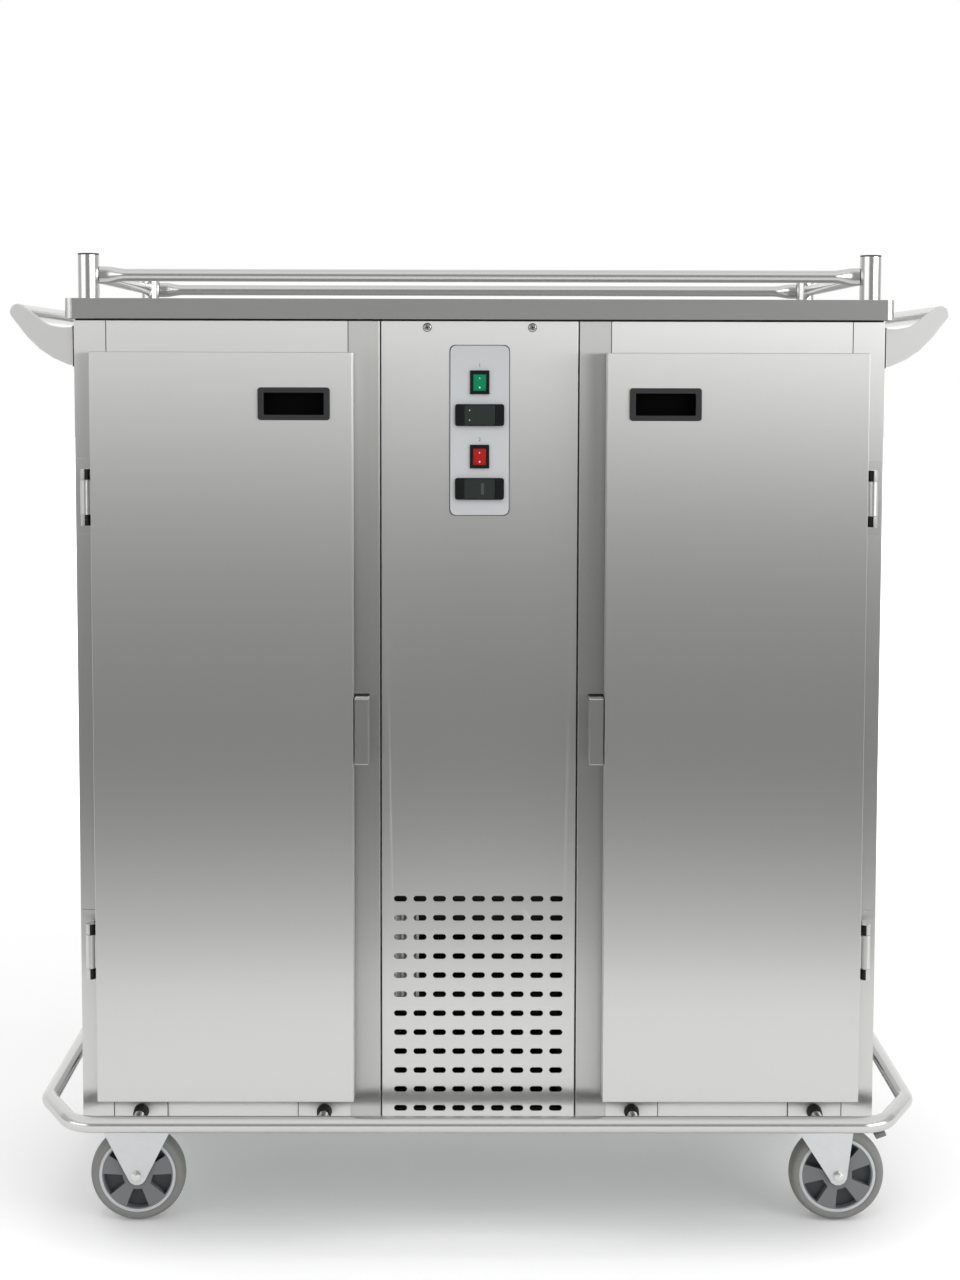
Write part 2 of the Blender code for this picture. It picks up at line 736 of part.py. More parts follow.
def column_panels():
    x = (-PANEL_HALF_WIDTH, PANEL_HALF_WIDTH)
    z = (CABINET_BOTTOM + SEAT_GAP, CABINET_TOP - SEAT_GAP)
    front = tray("front_panel", x, (FRONT, FRONT + PANEL_FLANGE), z, PANEL_SHEET, (1, 1))
    through = (FRONT - OVERRUN, FRONT + OVERRUN)
    grid = (VENT_COLUMNS, VENT_ROWS, VENT_PITCH_X, VENT_PITCH_Z, CABINET_BOTTOM + VENT_RISE)
    cut(front, slots("front_vents", *grid, SLOT_LENGTH, SLOT_HEIGHT, through))
    cut(front, *switch_holes("front_panel", 2 * SEAT_GAP, through))
    part(front, STEEL)
    rear = tray("rear_panel", x, (BACK - PANEL_FLANGE, BACK), z, PANEL_SHEET, (1, -1))
    through = (BACK - OVERRUN, BACK + OVERRUN)
    grid = (1, REAR_VENT_ROWS, REAR_VENT_PITCH, REAR_VENT_PITCH, CABINET_BOTTOM + REAR_VENT_RISE)
    cut(rear, slots("rear_vents", *grid, REAR_VENT_LENGTH, REAR_VENT_HEIGHT, through))
    part(rear, STEEL)


def top_deck():
    x = around(0, DECK_WIDTH)
    y = around(0, DECK_DEPTH)
    deck = tray("top_deck", x, y, (DECK_BOTTOM, DECK_TOP), DECK_SHEET, (2, -1), DECK_CORNER_ROUND)
    field_x = around(0, DECK_WIDTH - 2 * DECK_FIELD_INSET_X)
    field_y = around(0, DECK_DEPTH - 2 * DECK_FIELD_INSET_Y)
    field = DECK_TOP - DECK_FIELD_DEPTH
    under_x = (field_x[0] - DECK_SHEET, field_x[1] + DECK_SHEET)
    under_y = (field_y[0] - DECK_SHEET, field_y[1] + DECK_SHEET)
    join(deck, box("field_sheet", under_x, under_y, (field - DECK_SHEET, DECK_TOP - DECK_SHEET / 2)))
    spread = DECK_WIDTH - 2 * DECK_RIB_INSET
    for number in range(DECK_RIBS):
        rib_x = around(spread * (number / (DECK_RIBS - 1) - 0.5), DECK_RIB_WIDTH)
        rib_y = around(0, CABINET_DEPTH - 2 * DECK_RIB_MARGIN)
        join(deck, box(f"deck_rib_{number}", rib_x, rib_y, (DECK_BOTTOM, DECK_TOP - DECK_SHEET / 2)))
    pressed = (field, DECK_TOP + OVERRUN)
    cut(deck, rounded_box("pressed_field", field_x, field_y, pressed, DECK_CORNER_ROUND, 2))
    part(deck, STEEL)


# Gallery


def gallery_rail(name, start, end):
    """A round rail along X or Y whose ends are pressed to flat, upright tongues."""
    start, end = Vector(start), Vector(end)
    along = (end - start).normalized()
    across = Vector((-along.y, along.x, 0))
    half = (end - start).length / 2
    middle = (start + end) / 2
    flat = (RAIL_PRESSED_THICKNESS / 2, RAIL_PRESSED_HEIGHT / 2)
    round_section = (RAIL_RADIUS, RAIL_RADIUS)
    bend = half - RAIL_PRESSED_LENGTH
    stations = [(half, flat), (bend, flat), (bend - RAIL_TAPER_LENGTH, round_section)]
    stations += [(-place, section) for place, section in reversed(stations)]
    rings = []
    for place, (wide, tall) in stations:
        centre = middle + along * place
        ring = []
        for cosine, sine in arc((0, 0), 1, 0, 360, RAIL_SIDES)[1:]:
            ring.append(centre + across * (wide * cosine) + Vector((0, 0, tall * sine)))
        rings.append(ring)
    return loft(name, rings)


def gallery():
    foot = DECK_TOP + SEAT_GAP
    inner_x = POST_X - POST_RADIUS
    inner_y = POST_Y - POST_RADIUS
    for side, word in ((LEFT, "left"), (RIGHT, "right")):
        start = (side * POST_X, -inner_y - WELD_OVERLAP, RAIL_Z)
        end = (side * POST_X, inner_y + WELD_OVERLAP, RAIL_Z)
        frame = gallery_rail(f"{word}_gallery_frame", start, end)
        for y in (-POST_Y, POST_Y):
            top = (side * POST_X, y, foot + POST_HEIGHT)
            bottom = (side * POST_X, y, foot)
            join(frame, cylinder(f"{word}_post_{y:.2f}", POST_RADIUS, bottom, top, TUBE_SIDES))
        part(frame, STEEL)
    reach = inner_x - SEAT_GAP
    for y, word in ((-POST_Y, "front"), (POST_Y, "rear")):
        part(gallery_rail(f"{word}_gallery_rail", (-reach, y, RAIL_Z), (reach, y, RAIL_Z)), STEEL)


# Push handles and bumper


def push_handle(side, word):
    """Two horn-shaped arms on the cabinet's side with a grip tube between their tips."""

    def placed(shares):
        across, up = shares
        root = HALF_CABINET + SEAT_GAP
        return (root + across * (HANDLE_REACH - SEAT_GAP), HANDLE_ROOT_BOTTOM + up * HANDLE_RISE)

    tip = placed((1, 1))
    steps = HANDLE_TIP_STEPS
    outline = arc(tip, HANDLE_TIP_RADIUS, HANDLE_TIP_START_DEGREES, HANDLE_TIP_END_DEGREES, steps)
    outline += [placed(shares) for shares in HANDLE_UPPER_SHARES + HANDLE_LOWER_SHARES]
    outline = [(side * x, z) for x, z in outline]
    outer = BACK - HANDLE_ARM_INSET
    inner = outer - HANDLE_ARM_THICKNESS
    bury = HANDLE_ARM_THICKNESS / 2
    start = (side * tip[0], -inner - bury, tip[1])
    end = (side * tip[0], inner + bury, tip[1])
    handle = cylinder(f"{word}_push_handle", HANDLE_TUBE_RADIUS, start, end, TUBE_SIDES)
    root = span(side, HALF_CABINET + SEAT_GAP, HALF_CABINET + SEAT_GAP + HANDLE_FLANGE_THICKNESS)
    margin = HANDLE_FLANGE_MARGIN
    arm_top = HANDLE_ROOT_BOTTOM + HANDLE_RISE * HANDLE_UPPER_SHARES[-1][1]
    height = (HANDLE_ROOT_BOTTOM - margin, arm_top + margin)
    flange = (outer + margin - HANDLE_FLANGE_WIDTH, outer + margin)
    for end, arm_y, flange_y in (
        ("front", (-outer, -inner), (-flange[1], -flange[0])),
        ("rear", (inner, outer), flange),
    ):
        join(handle, plate(f"{word}_{end}_arm", outline, arm_y))
        join(handle, box(f"{word}_{end}_flange", root, flange_y, height))
    part(handle, STEEL)


def bumper_ring():
    """A tube around the cabinet with chamfered corners, on stubs with pads."""
    half_x = HALF_CABINET + BUMPER_STANDOFF
    half_y = BACK + BUMPER_STANDOFF
    corners = []
    for x, y, first in ((1, 1, "x"), (-1, 1, "y"), (-1, -1, "x"), (1, -1, "y")):
        on_side = Vector((x * half_x, y * (half_y - BUMPER_CORNER_Y), BUMPER_HEIGHT))
        on_front = Vector((x * (half_x - BUMPER_CORNER_X), y * half_y, BUMPER_HEIGHT))
        corners += [on_side, on_front] if first == "x" else [on_front, on_side]
    path = []
    for i, corner in enumerate(corners):
        before = (corners[i - 1] - corner).normalized()
        after = (corners[(i + 1) % len(corners)] - corner).normalized()
        reach = BUMPER_BEND_RADIUS / math.tan(before.angle(after) / 2)
        start, end = corner + before * reach, corner + after * reach
        for step in range(BUMPER_BEND_STEPS + 1):
            t = step / BUMPER_BEND_STEPS
            path.append((1 - t) ** 2 * start + 2 * t * (1 - t) * corner + t**2 * end)
    ring = pipe("bumper_ring", path, BUMPER_RADIUS, BUMPER_SIDES_RESOLUTION, closed=True)
    pad_z = around(BUMPER_HEIGHT + BUMPER_PAD_RISE, BUMPER_PAD_HEIGHT)
    foot_y, foot_x = BACK + SEAT_GAP, HALF_CABINET + SEAT_GAP
    for y_side in (-1, 1):
        pad_y = span(y_side, foot_y, foot_y + BUMPER_PAD_THICKNESS)
        places = [side * (HALF_CABINET - x) for x in BUMPER_FRONT_STUB_INSETS for side in (LEFT, RIGHT)]
        for number, x in enumerate(places):
            join(ring, box(f"bumper_pad_{y_side}_{number}", around(x, BUMPER_PAD_WIDTH), pad_y, pad_z))
            start = (x, y_side * (foot_y + BUMPER_PAD_THICKNESS / 2), BUMPER_HEIGHT)
            end = (x, y_side * half_y, BUMPER_HEIGHT)
            join(ring, cylinder(f"bumper_stub_{y_side}_{number}", BUMPER_STUB_RADIUS, start, end))
    middle_y = (FRONT + BACK) / 2
    for side in (LEFT, RIGHT):
        pad_x = span(side, foot_x, foot_x + BUMPER_PAD_THICKNESS)
        join(ring, box(f"bumper_side_pad_{side}", pad_x, around(middle_y, BUMPER_PAD_WIDTH), pad_z))
        start = (side * (foot_x + BUMPER_PAD_THICKNESS / 2), middle_y, BUMPER_HEIGHT)
        end = (side * half_x, middle_y, BUMPER_HEIGHT)
        join(ring, cylinder(f"bumper_side_stub_{side}", BUMPER_STUB_RADIUS, start, end))
    part(smooth(ring), STEEL)


# Doors


def hinge_barrel(name, side, z, finish_as):
    """The knuckles and the pin of a hinge on the cabinet, or the knuckle on the door."""
    x, y = side * HINGE_AXIS_X, HINGE_AXIS_Y
    half = HINGE_MIDDLE_LENGTH / 2
    if finish_as == "door":
        low, high = z - half + RUNNING_GAP / 2, z + half - RUNNING_GAP / 2
        bore = HINGE_PIN_RADIUS + HINGE_PIN_CLEARANCE
        knuckle = cylinder(name, HINGE_KNUCKLE_RADIUS, (x, y, low), (x, y, high), KNUCKLE_SIDES)
        web_x = span(side, DOOR_OUTER_EDGE - DOOR_SKIN / 2, HINGE_AXIS_X)
        web_z = (low + HINGE_WEB_MARGIN, high - HINGE_WEB_MARGIN)
        web = box(f"{name}_web", web_x, around(y, HINGE_WEB_THICKNESS), web_z)
        hole = cylinder(f"{name}_bore", bore, (x, y, low - OVERRUN), (x, y, high + OVERRUN))
        return web, knuckle, hole
    low, high = z - half - RUNNING_GAP / 2, z + half + RUNNING_GAP / 2
    ends = (low - HINGE_KNUCKLE_LENGTH, high + HINGE_KNUCKLE_LENGTH)
    plate_x = around(side * (HINGE_AXIS_X + HINGE_PLATE_SHIFT), HINGE_PLATE_WIDTH)
    plate_y = (FRONT - SEAT_GAP - HINGE_PLATE_THICKNESS, FRONT - SEAT_GAP)
    leaf = box(name, plate_x, plate_y, around(z, HINGE_PLATE_HEIGHT))
    web_y = (y, FRONT - SEAT_GAP - HINGE_PLATE_THICKNESS / 2)
    for number, knuckle in enumerate(((ends[0], low), (high, ends[1]))):
        web_z = (knuckle[0] + HINGE_WEB_MARGIN, knuckle[1] - HINGE_WEB_MARGIN)
        join(leaf, box(f"{name}_web_{number}", around(x, HINGE_WEB_THICKNESS), web_y, web_z))
        bottom, top = (x, y, knuckle[0]), (x, y, knuckle[1])
        join(leaf, cylinder(f"{name}_knuckle_{number}", HINGE_KNUCKLE_RADIUS, bottom, top, KNUCKLE_SIDES))
    pin_ends = (ends[0] + WELD_OVERLAP, ends[1] - WELD_OVERLAP)
    pin = [(x, y, height) for height in pin_ends]
    return join(leaf, cylinder(f"{name}_pin", HINGE_PIN_RADIUS, *pin))


def door(side, word):
    x = span(side, DOOR_INNER_EDGE, DOOR_OUTER_EDGE)
    z = (DOOR_BOTTOM, DOOR_TOP)
    pan = box(f"{word}_door_pan", x, (DOOR_FRONT, DOOR_BACK), z)
    rounding = pan.modifiers.new("folded edges", "BEVEL")
    rounding.width = DOOR_EDGE_ROUND
    rounding.segments = DOOR_EDGE_STEPS
    inside = [(near + DOOR_SKIN, far - DOOR_SKIN) for near, far in (x, z)]
    hollow_y = (DOOR_FRONT + DOOR_SKIN, DOOR_BACK + OVERRUN)
    cut(pan, box(f"{word}_pan_hollow", inside[0], hollow_y, inside[1]))
    holes = []
    for number, height in enumerate(HINGE_HEIGHTS):
        web, knuckle, hole = hinge_barrel(f"{word}_door_knuckle_{number}", side, height, "door")
        join(pan, web, knuckle)
        holes.append(hole)
    cut(pan, *holes)
    pull_x = side * PULL_CENTRE_X
    behind = DOOR_FRONT + PULL_CUP_DEPTH + PULL_WALL
    cup_x = around(pull_x, PULL_CUP_WIDTH + 2 * PULL_WALL)
    cup_z = around(PULL_CENTRE_Z, PULL_CUP_HEIGHT + 2 * PULL_WALL)
    free_x = (cup_x[0] - SEAT_GAP, cup_x[1] + SEAT_GAP)
    free_z = (cup_z[0] - SEAT_GAP, cup_z[1] + SEAT_GAP)
    free_y = (DOOR_FRONT - OVERRUN, behind + SEAT_GAP)
    cut(pan, box(f"{word}_pan_pull_hole", free_x, free_y, free_z))
    part(pan, STEEL)
    filled = [(near + SEAT_GAP, far - SEAT_GAP) for near, far in inside]
    core = box(f"{word}_door_core", filled[0], (DOOR_FRONT + DOOR_SKIN + SEAT_GAP, DOOR_BACK), filled[1])
    cut(core, box(f"{word}_core_pull_hole", free_x, free_y, free_z))
    part(core, INSULATION)
    seal_y = (DOOR_BACK + SEAT_GAP, FRONT - SEAT_GAP)
    around_x = (x[0] + GASKET_INSET, x[1] - GASKET_INSET)
    around_z = (z[0] + GASKET_INSET, z[1] - GASKET_INSET)
    gasket = box(f"{word}_door_gasket", around_x, seal_y, around_z)
    window_x = (around_x[0] + GASKET_WIDTH, around_x[1] - GASKET_WIDTH)
    window_z = (around_z[0] + GASKET_WIDTH, around_z[1] - GASKET_WIDTH)
    window_y = (seal_y[0] - OVERRUN, seal_y[1] + OVERRUN)
    cut(gasket, box(f"{word}_gasket_window", window_x, window_y, window_z))
    part(gasket, SEAL_RUBBER)
    frame_y = (DOOR_FRONT - SEAT_GAP - PULL_FRAME_PROUD, DOOR_FRONT - SEAT_GAP)
    frame_x = around(pull_x, PULL_WIDTH)
    pull = rounded_box(
        f"{word}_door_pull", frame_x, frame_y, around(PULL_CENTRE_Z, PULL_HEIGHT), PULL_ROUND, 1
    )
    join(pull, box(f"{word}_pull_cup", cup_x, (DOOR_FRONT - PULL_FRAME_PROUD / 2, behind), cup_z))
    pocket_y = (DOOR_FRONT - OVERRUN, behind - PULL_WALL)
    pocket_x = around(pull_x, PULL_CUP_WIDTH)
    cut(pull, box(f"{word}_pull_pocket", pocket_x, pocket_y, around(PULL_CENTRE_Z, PULL_CUP_HEIGHT)))
    part(pull, BLACK_PLASTIC)
    for place, height in zip(("lower", "upper"), HINGE_HEIGHTS):
        part(hinge_barrel(f"{word}_{place}_hinge", side, height, "cabinet"), PRESSED_STEEL)
    axis = empty_at(f"{word}_door_axis", (side * HINGE_AXIS_X, HINGE_AXIS_Y, DOOR_BOTTOM))
    carry(axis, pan, core, gasket, pull)


def catch_cover(side, word):
    """A folded cover beside the door's free edge, with a window for the catch."""
    near = DOOR_INNER_EDGE - CATCH_DOOR_GAP
    x = span(side, near - CATCH_WIDTH, near)
    y = (FRONT - SEAT_GAP - CATCH_DEPTH, FRONT - SEAT_GAP)
    z = around(CATCH_CENTRE_Z, CATCH_HEIGHT)
    cover = tray(f"{word}_catch_cover", x, y, z, CATCH_SHEET, (1, 1))
    window_y = around((y[0] + y[1]) / 2, CATCH_WINDOW_DEPTH)
    window_z = around(CATCH_CENTRE_Z, CATCH_WINDOW_HEIGHT)
    window_x = span(side, near - CATCH_WIDTH / 2, near + OVERRUN)
    cut(cover, box(f"{word}_catch_window", window_x, window_y, window_z))
    part(cover, PRESSED_STEEL)


# Controls


def control_plate():
    x = around(0, CONTROL_PLATE_WIDTH)
    y = (CONTROL_PLATE_FRONT, CONTROL_PLATE_BACK)
    z = (CONTROL_PLATE_BOTTOM, CONTROL_PLATE_TOP)
    sheet = rounded_box("control_plate", x, y, z, CONTROL_PLATE_ROUND, 1)
    through = (FRONT - OVERRUN, FRONT + OVERRUN)
    part(cut(sheet, *switch_holes("control_plate", SEAT_GAP, through)), PRESSED_STEEL)


def rocker_switch(place, z, finish):
    front = BEZEL_BACK - SWITCH_BEZEL_PROUD
    bezel_x = around(0, SWITCH_WIDTH)
    bezel_y = (front, BEZEL_BACK)
    housing = box(f"{place}_switch_housing", bezel_x, bezel_y, around(z, SWITCH_HEIGHT))
    body_y = (BEZEL_BACK - SWITCH_BEZEL_PROUD / 2, BEZEL_BACK + SWITCH_BODY_DEPTH)
    body_x = around(0, SWITCH_BODY_WIDTH)
    join(housing, box(f"{place}_switch_body", body_x, body_y, around(z, SWITCH_BODY_HEIGHT)))
    pocket_x = around(0, ROCKER_WIDTH + 2 * ROCKER_SIDE_GAP)
    pocket_y = (front - OVERRUN, front + ROCKER_POCKET_DEPTH)
    pocket_z = around(z, ROCKER_HEIGHT + 2 * ROCKER_END_GAP)
    cut(housing, box(f"{place}_switch_pocket", pocket_x, pocket_y, pocket_z))
    pivot = (0, front + ROCKER_PIVOT_DEPTH, z)
    reach = ROCKER_WIDTH / 2 + ROCKER_PIN_REACH
    bore = reach + SEAT_GAP
    bore_radius = ROCKER_PIN_RADIUS + SEAT_GAP
    bore_ends = [(end * bore, *pivot[1:]) for end in (-1, 1)]
    cut(housing, cylinder(f"{place}_switch_pin_bore", bore_radius, *bore_ends, PIN_SIDES))
    part(housing, BLACK_PLASTIC)
    half, back_half = ROCKER_HEIGHT / 2, ROCKER_BACK_HEIGHT / 2
    face, dish = -ROCKER_FACE_DEPTH, -ROCKER_FACE_DEPTH * ROCKER_DISH_SHARE
    profile = [(-half, face), (0, dish), (half, face), (half, 0), (back_half, ROCKER_BACK_DEPTH)]
    profile += [(-back_half, ROCKER_BACK_DEPTH), (-half, 0)]
    rings = []
    for x in (-ROCKER_WIDTH / 2, ROCKER_WIDTH / 2):
        rings.append([Vector((x, y, height)) for height, y in profile])
    cap = loft(f"{place}_rocker", rings)
    pin_ends = [(end * reach, 0, 0) for end in (-1, 1)]
    join(cap, cylinder(f"{place}_rocker_pin", ROCKER_PIN_RADIUS, *pin_ends, PIN_SIDES))
    part(cap, finish)
    pin = bpy.data.objects[f"{place}_rocker_pin"]
    tilt = Matrix.Translation(pivot) @ Matrix.Rotation(math.radians(ROCKER_TILT_DEGREES), 4, "X")
    for obj in (cap, pin):
        obj.matrix_world = tilt @ obj.matrix_world


def controller(place, z):
    front = BEZEL_BACK - CONTROLLER_PROUD
    x = around(0, CONTROLLER_WIDTH)
    y = (front, BEZEL_BACK)
    device = rounded_box(f"{place}_controller", x, y, around(z, CONTROLLER_HEIGHT), CONTROLLER_ROUND, 1)
    body_x = around(0, CONTROLLER_BODY_WIDTH)
    body_y = (BEZEL_BACK - CONTROLLER_PROUD / 2, BEZEL_BACK + CONTROLLER_BODY_DEPTH)
    join(device, box(f"{place}_controller_body", body_x, body_y, around(z, CONTROLLER_BODY_HEIGHT)))
    window_x = around(0, CONTROLLER_WINDOW_WIDTH)
    window_y = (front - OVERRUN, front + CONTROLLER_WINDOW_DEPTH)
    window_z = around(z, CONTROLLER_WINDOW_HEIGHT)
    cut(device, box(f"{place}_controller_window", window_x, window_y, window_z))
    part(device, BLACK_PLASTIC)


# Inside the compartments


def runner_rack(side, word):
    """Two side sheets with runners for trays, tied together at the back."""
    y = (FRONT + RACK_FRONT_INSET, EVAPORATOR_FRONT - RACK_COIL_GAP)
    z = (CAVITY_Z[0] + RACK_MARGIN, CAVITY_Z[1] - RACK_MARGIN)
    walls = (
        (CAVITY_INNER_X + RACK_CLEARANCE, 1),
        (CAVITY_OUTER_X - RACK_CLEARANCE, -1),
    )
    pitch = (z[1] - z[0] - RACK_MARGIN) / RACK_LEVELS
    rack = None
    for wall, (place, inward) in enumerate(walls):
        sheet_x = span(side, place, place + inward * RACK_SHEET)
        sheet = box(f"{word}_rack_sheet_{wall}", sheet_x, y, z)
        if rack is None:
            rack = sheet
            rack.name = f"{word}_runner_rack"
        else:
            join(rack, sheet)
        runner_x = span(side, place + inward * RACK_SHEET / 2, place + inward * (RACK_SHEET + RUNNER_WIDTH))
        for level in range(RACK_LEVELS):
            low = z[0] + RACK_MARGIN / 2 + level * pitch
            runner = box(f"{word}_runner_{wall}_{level}", runner_x, y, (low, low + RUNNER_THICKNESS))
            join(rack, runner)
        for end, edge in (("front", y[0]), ("rear", y[1] - RACK_TIE_HEIGHT)):
            foot_y = (edge, edge + RACK_TIE_HEIGHT)
            foot_z = (z[0] - RACK_FOOT_DROP, z[0] + WELD_OVERLAP)
            join(rack, box(f"{word}_rack_foot_{wall}_{end}", sheet_x, foot_y, foot_z))
    across = span(side, CAVITY_INNER_X + RACK_CLEARANCE, CAVITY_OUTER_X - RACK_CLEARANCE)
    tie_y = (y[1] - WELD_OVERLAP, y[1] + RACK_TIE_THICKNESS)
    for number, low in enumerate((z[0], z[1] - RACK_TIE_HEIGHT)):
        join(rack, box(f"{word}_rack_tie_{number}", across, tie_y, (low, low + RACK_TIE_HEIGHT)))
    part(rack, PRESSED_STEEL)


def fin_grooves(name, x, z, face_y, into, count, along):
    """Cutters for the gaps between fins on a face at face_y; into is -1 or 1."""
    near, far = (x, z) if along == "z" else (z, x)
    pitch = (near[1] - near[0]) / count
    cutters = []
    for number in range(1, count):
        middle = near[0] + number * pitch
        gap = around(middle, pitch * FIN_GROOVE_SHARE)
        length = (far[0] + pitch, far[1] - pitch)
        depth = tuple(sorted((face_y - into * OVERRUN, face_y + into * FIN_GROOVE_DEPTH)))
        gap_x, gap_z = (gap, length) if along == "z" else (length, gap)
        cutters.append(box(f"{name}_groove_{number}", gap_x, depth, gap_z))
    return cutters


def evaporator(side, word):
    x = span(side, CAVITY_INNER_X + EVAPORATOR_SIDE_GAP, CAVITY_OUTER_X - EVAPORATOR_SIDE_GAP)
    y = (EVAPORATOR_FRONT, EVAPORATOR_FRONT + EVAPORATOR_DEPTH)
    top = CAVITY_Z[1] - EVAPORATOR_TOP_MARGIN
    z = (top - EVAPORATOR_HEIGHT, top)
    coil = box(f"{word}_evaporator", x, y, z)
    cut(coil, *fin_grooves(f"{word}_evaporator", x, z, y[0], 1, EVAPORATOR_FINS, "z"))
    part(coil, ALUMINIUM)


# Machine compartment


def condenser():
    """Finned block with a shroud behind it and the fan motor on two bars."""
    x = around(0, CONDENSER_WIDTH)
    front = FRONT + CONDENSER_FRONT_GAP
    back = front + CONDENSER_DEPTH
    z = (CABINET_BOTTOM, CABINET_BOTTOM + CONDENSER_HEIGHT)
    centre_z = (z[0] + z[1]) / 2
    block = box("condenser", x, (front, back), z)
    cut(block, *fin_grooves("condenser", x, z, front, 1, CONDENSER_FINS, "z"))
    shroud_y = (back - WELD_OVERLAP, back + SHROUD_DEPTH)
    shroud = box("condenser_shroud", x, shroud_y, z)
    room_y = (back - OVERRUN, back + SHROUD_DEPTH - SHROUD_WALL)
    room_x, room_z = [(near + SHROUD_WALL, far - SHROUD_WALL) for near, far in (x, z)]
    cut(shroud, box("shroud_room", room_x, room_y, room_z))
    mouth = [(0, y, centre_z) for y in (back - OVERRUN, back + SHROUD_DEPTH + OVERRUN)]
    cut(shroud, cylinder("shroud_mouth", FAN_RADIUS + FAN_TIP_GAP, *mouth, MOUTH_SIDES))
    join(block, shroud)
    bar_y = (back + SHROUD_DEPTH - SHROUD_WALL, back + SHROUD_DEPTH - SHROUD_WALL + MOTOR_BAR_THICKNESS)
    for number, place in enumerate((-MOTOR_RADIUS / 2, MOTOR_RADIUS / 2)):
        bar_x = around(place, MOTOR_BAR_WIDTH)
        join(block, box(f"motor_bar_{number}", bar_x, (bar_y[0] + SEAT_GAP, bar_y[1] + SEAT_GAP), room_z))
    motor = [(0, y, centre_z) for y in (bar_y[0], bar_y[0] + MOTOR_LENGTH)]
    join(block, cylinder("fan_motor", MOTOR_RADIUS, *motor, DISC_SIDES))
    shaft = [(0, y, centre_z) for y in (back + FAN_SHAFT_GAP, bar_y[0] + MOTOR_BAR_THICKNESS)]
    join(block, cylinder("fan_shaft", FAN_SHAFT_RADIUS, *shaft))
    part(block, ALUMINIUM)
    plane = back + FAN_PLANE_GAP
    hub_ends = [(0, plane + end * FAN_HUB_LENGTH / 2, centre_z) for end in (-1, 1)]
    fan = cylinder("condenser_fan", FAN_HUB_RADIUS, *hub_ends, DISC_SIDES)
    for number in range(FAN_BLADES):
        length = FAN_RADIUS - FAN_HUB_RADIUS / 2
        blade = box(
            f"fan_blade_{number}",
            around(0, FAN_BLADE_CHORD),
            around(0, FAN_BLADE_THICKNESS),
            (FAN_HUB_RADIUS / 2, FAN_HUB_RADIUS / 2 + length),
        )
        spin = Matrix.Rotation(math.tau * number / FAN_BLADES, 4, "Y")
        pitch = Matrix.Rotation(math.radians(FAN_BLADE_PITCH_DEGREES), 4, "Z")
        blade.matrix_world = Matrix.Translation((0, plane, centre_z)) @ spin @ pitch @ blade.matrix_basis
        join(fan, blade)
    bore = [(0, plane + end * FAN_HUB_LENGTH, centre_z) for end in (-1, 1)]
    cut(fan, cylinder("fan_bore", FAN_SHAFT_RADIUS + FAN_SHAFT_CLEARANCE, *bore))
    part(fan, BLACK_PLASTIC)


def compressor():
    half = COMPRESSOR_PLATE_LENGTH / 2
    foot_top = CABINET_BOTTOM + COMPRESSOR_FOOT_HEIGHT
    plate_top = foot_top + COMPRESSOR_PLATE_THICKNESS
    top = plate_top + COMPRESSOR_HEIGHT
    profile = [(0, COMPRESSOR_HEIGHT)]
    for up, out in reversed(COMPRESSOR_SHARES):
        profile.append((COMPRESSOR_RADIUS * out, COMPRESSOR_HEIGHT * up))
    profile += [(0, 0)]
    place = (0, COMPRESSOR_Y, plate_top - WELD_OVERLAP)
    shell = as_mesh(turned("compressor", profile, place, (0, 0, 1), DISC_SIDES))
    seam_z = (plate_top + top) / 2
    seam = [(0, COMPRESSOR_Y, seam_z + end * COMPRESSOR_SEAM_HEIGHT / 2) for end in (-1, 1)]
    join(shell, cylinder("compressor_seam", COMPRESSOR_RADIUS + COMPRESSOR_SEAM_PROUD, *seam, DISC_SIDES))
    plate_range = (foot_top, plate_top)
    join(shell, box("compressor_plate", (-half, half), around(COMPRESSOR_Y, 2 * half), plate_range))
    inset = half - COMPRESSOR_FOOT_HEIGHT
    for x in (-inset, inset):
        for y in (COMPRESSOR_Y - inset, COMPRESSOR_Y + inset):
            low, high = (x, y, CABINET_BOTTOM), (x, y, foot_top + COMPRESSOR_PLATE_THICKNESS / 2)
            foot = f"compressor_foot_{x:.2f}_{y:.2f}"
            join(shell, cylinder(foot, COMPRESSOR_FOOT_HEIGHT / 2, low, high, PIN_SIDES))
    part(shell, BLACK_ENAMEL)


def electric_box():
    wall = -HALF_COLUMN + SEAT_GAP
    x = (wall, wall + ELECTRIC_BOX_WIDTH)
    y = around(BACK - ELECTRIC_BOX_INSET, ELECTRIC_BOX_DEPTH)
    top = CABINET_TOP - ELECTRIC_BOX_DROP
    z = (top - ELECTRIC_BOX_HEIGHT, top)
    part(rounded_box("electric_box", x, y, z, ELECTRIC_BOX_ROUND, 1), GREY_PLASTIC)


# Casters


def cheek_pair(name, outline, y):
    """Both side plates of a fork."""
    pair = []
    for number, side in enumerate((-1, 1)):
        edges = span(side, FORK_INNER_WIDTH / 2, FORK_INNER_WIDTH / 2 + FORK_SHEET)
        pair.append(plate(f"{name}_cheek_{number}", outline, (y + edges[0], y + edges[1])))
    return pair


def axle(name, x, y):
    """Axle bolt with a head and a nut outside the cheeks."""
    reach = FORK_INNER_WIDTH / 2 + FORK_SHEET
    bolt = [(x, y + end * (reach + AXLE_NUT_LENGTH / 2), WHEEL_RADIUS) for end in (-1, 1)]
    pieces = [cylinder(f"{name}_bolt", AXLE_RADIUS, *bolt, PIN_SIDES)]
    for number, side in enumerate((-1, 1)):
        start = (x, y + side * (reach - FORK_SHEET / 2), WHEEL_RADIUS)
        end = (x, y + side * (reach + AXLE_NUT_LENGTH), WHEEL_RADIUS)
        pieces.append(cylinder(f"{name}_nut_{number}", AXLE_NUT_RADIUS, start, end, NUT_SIDES))
    return pieces


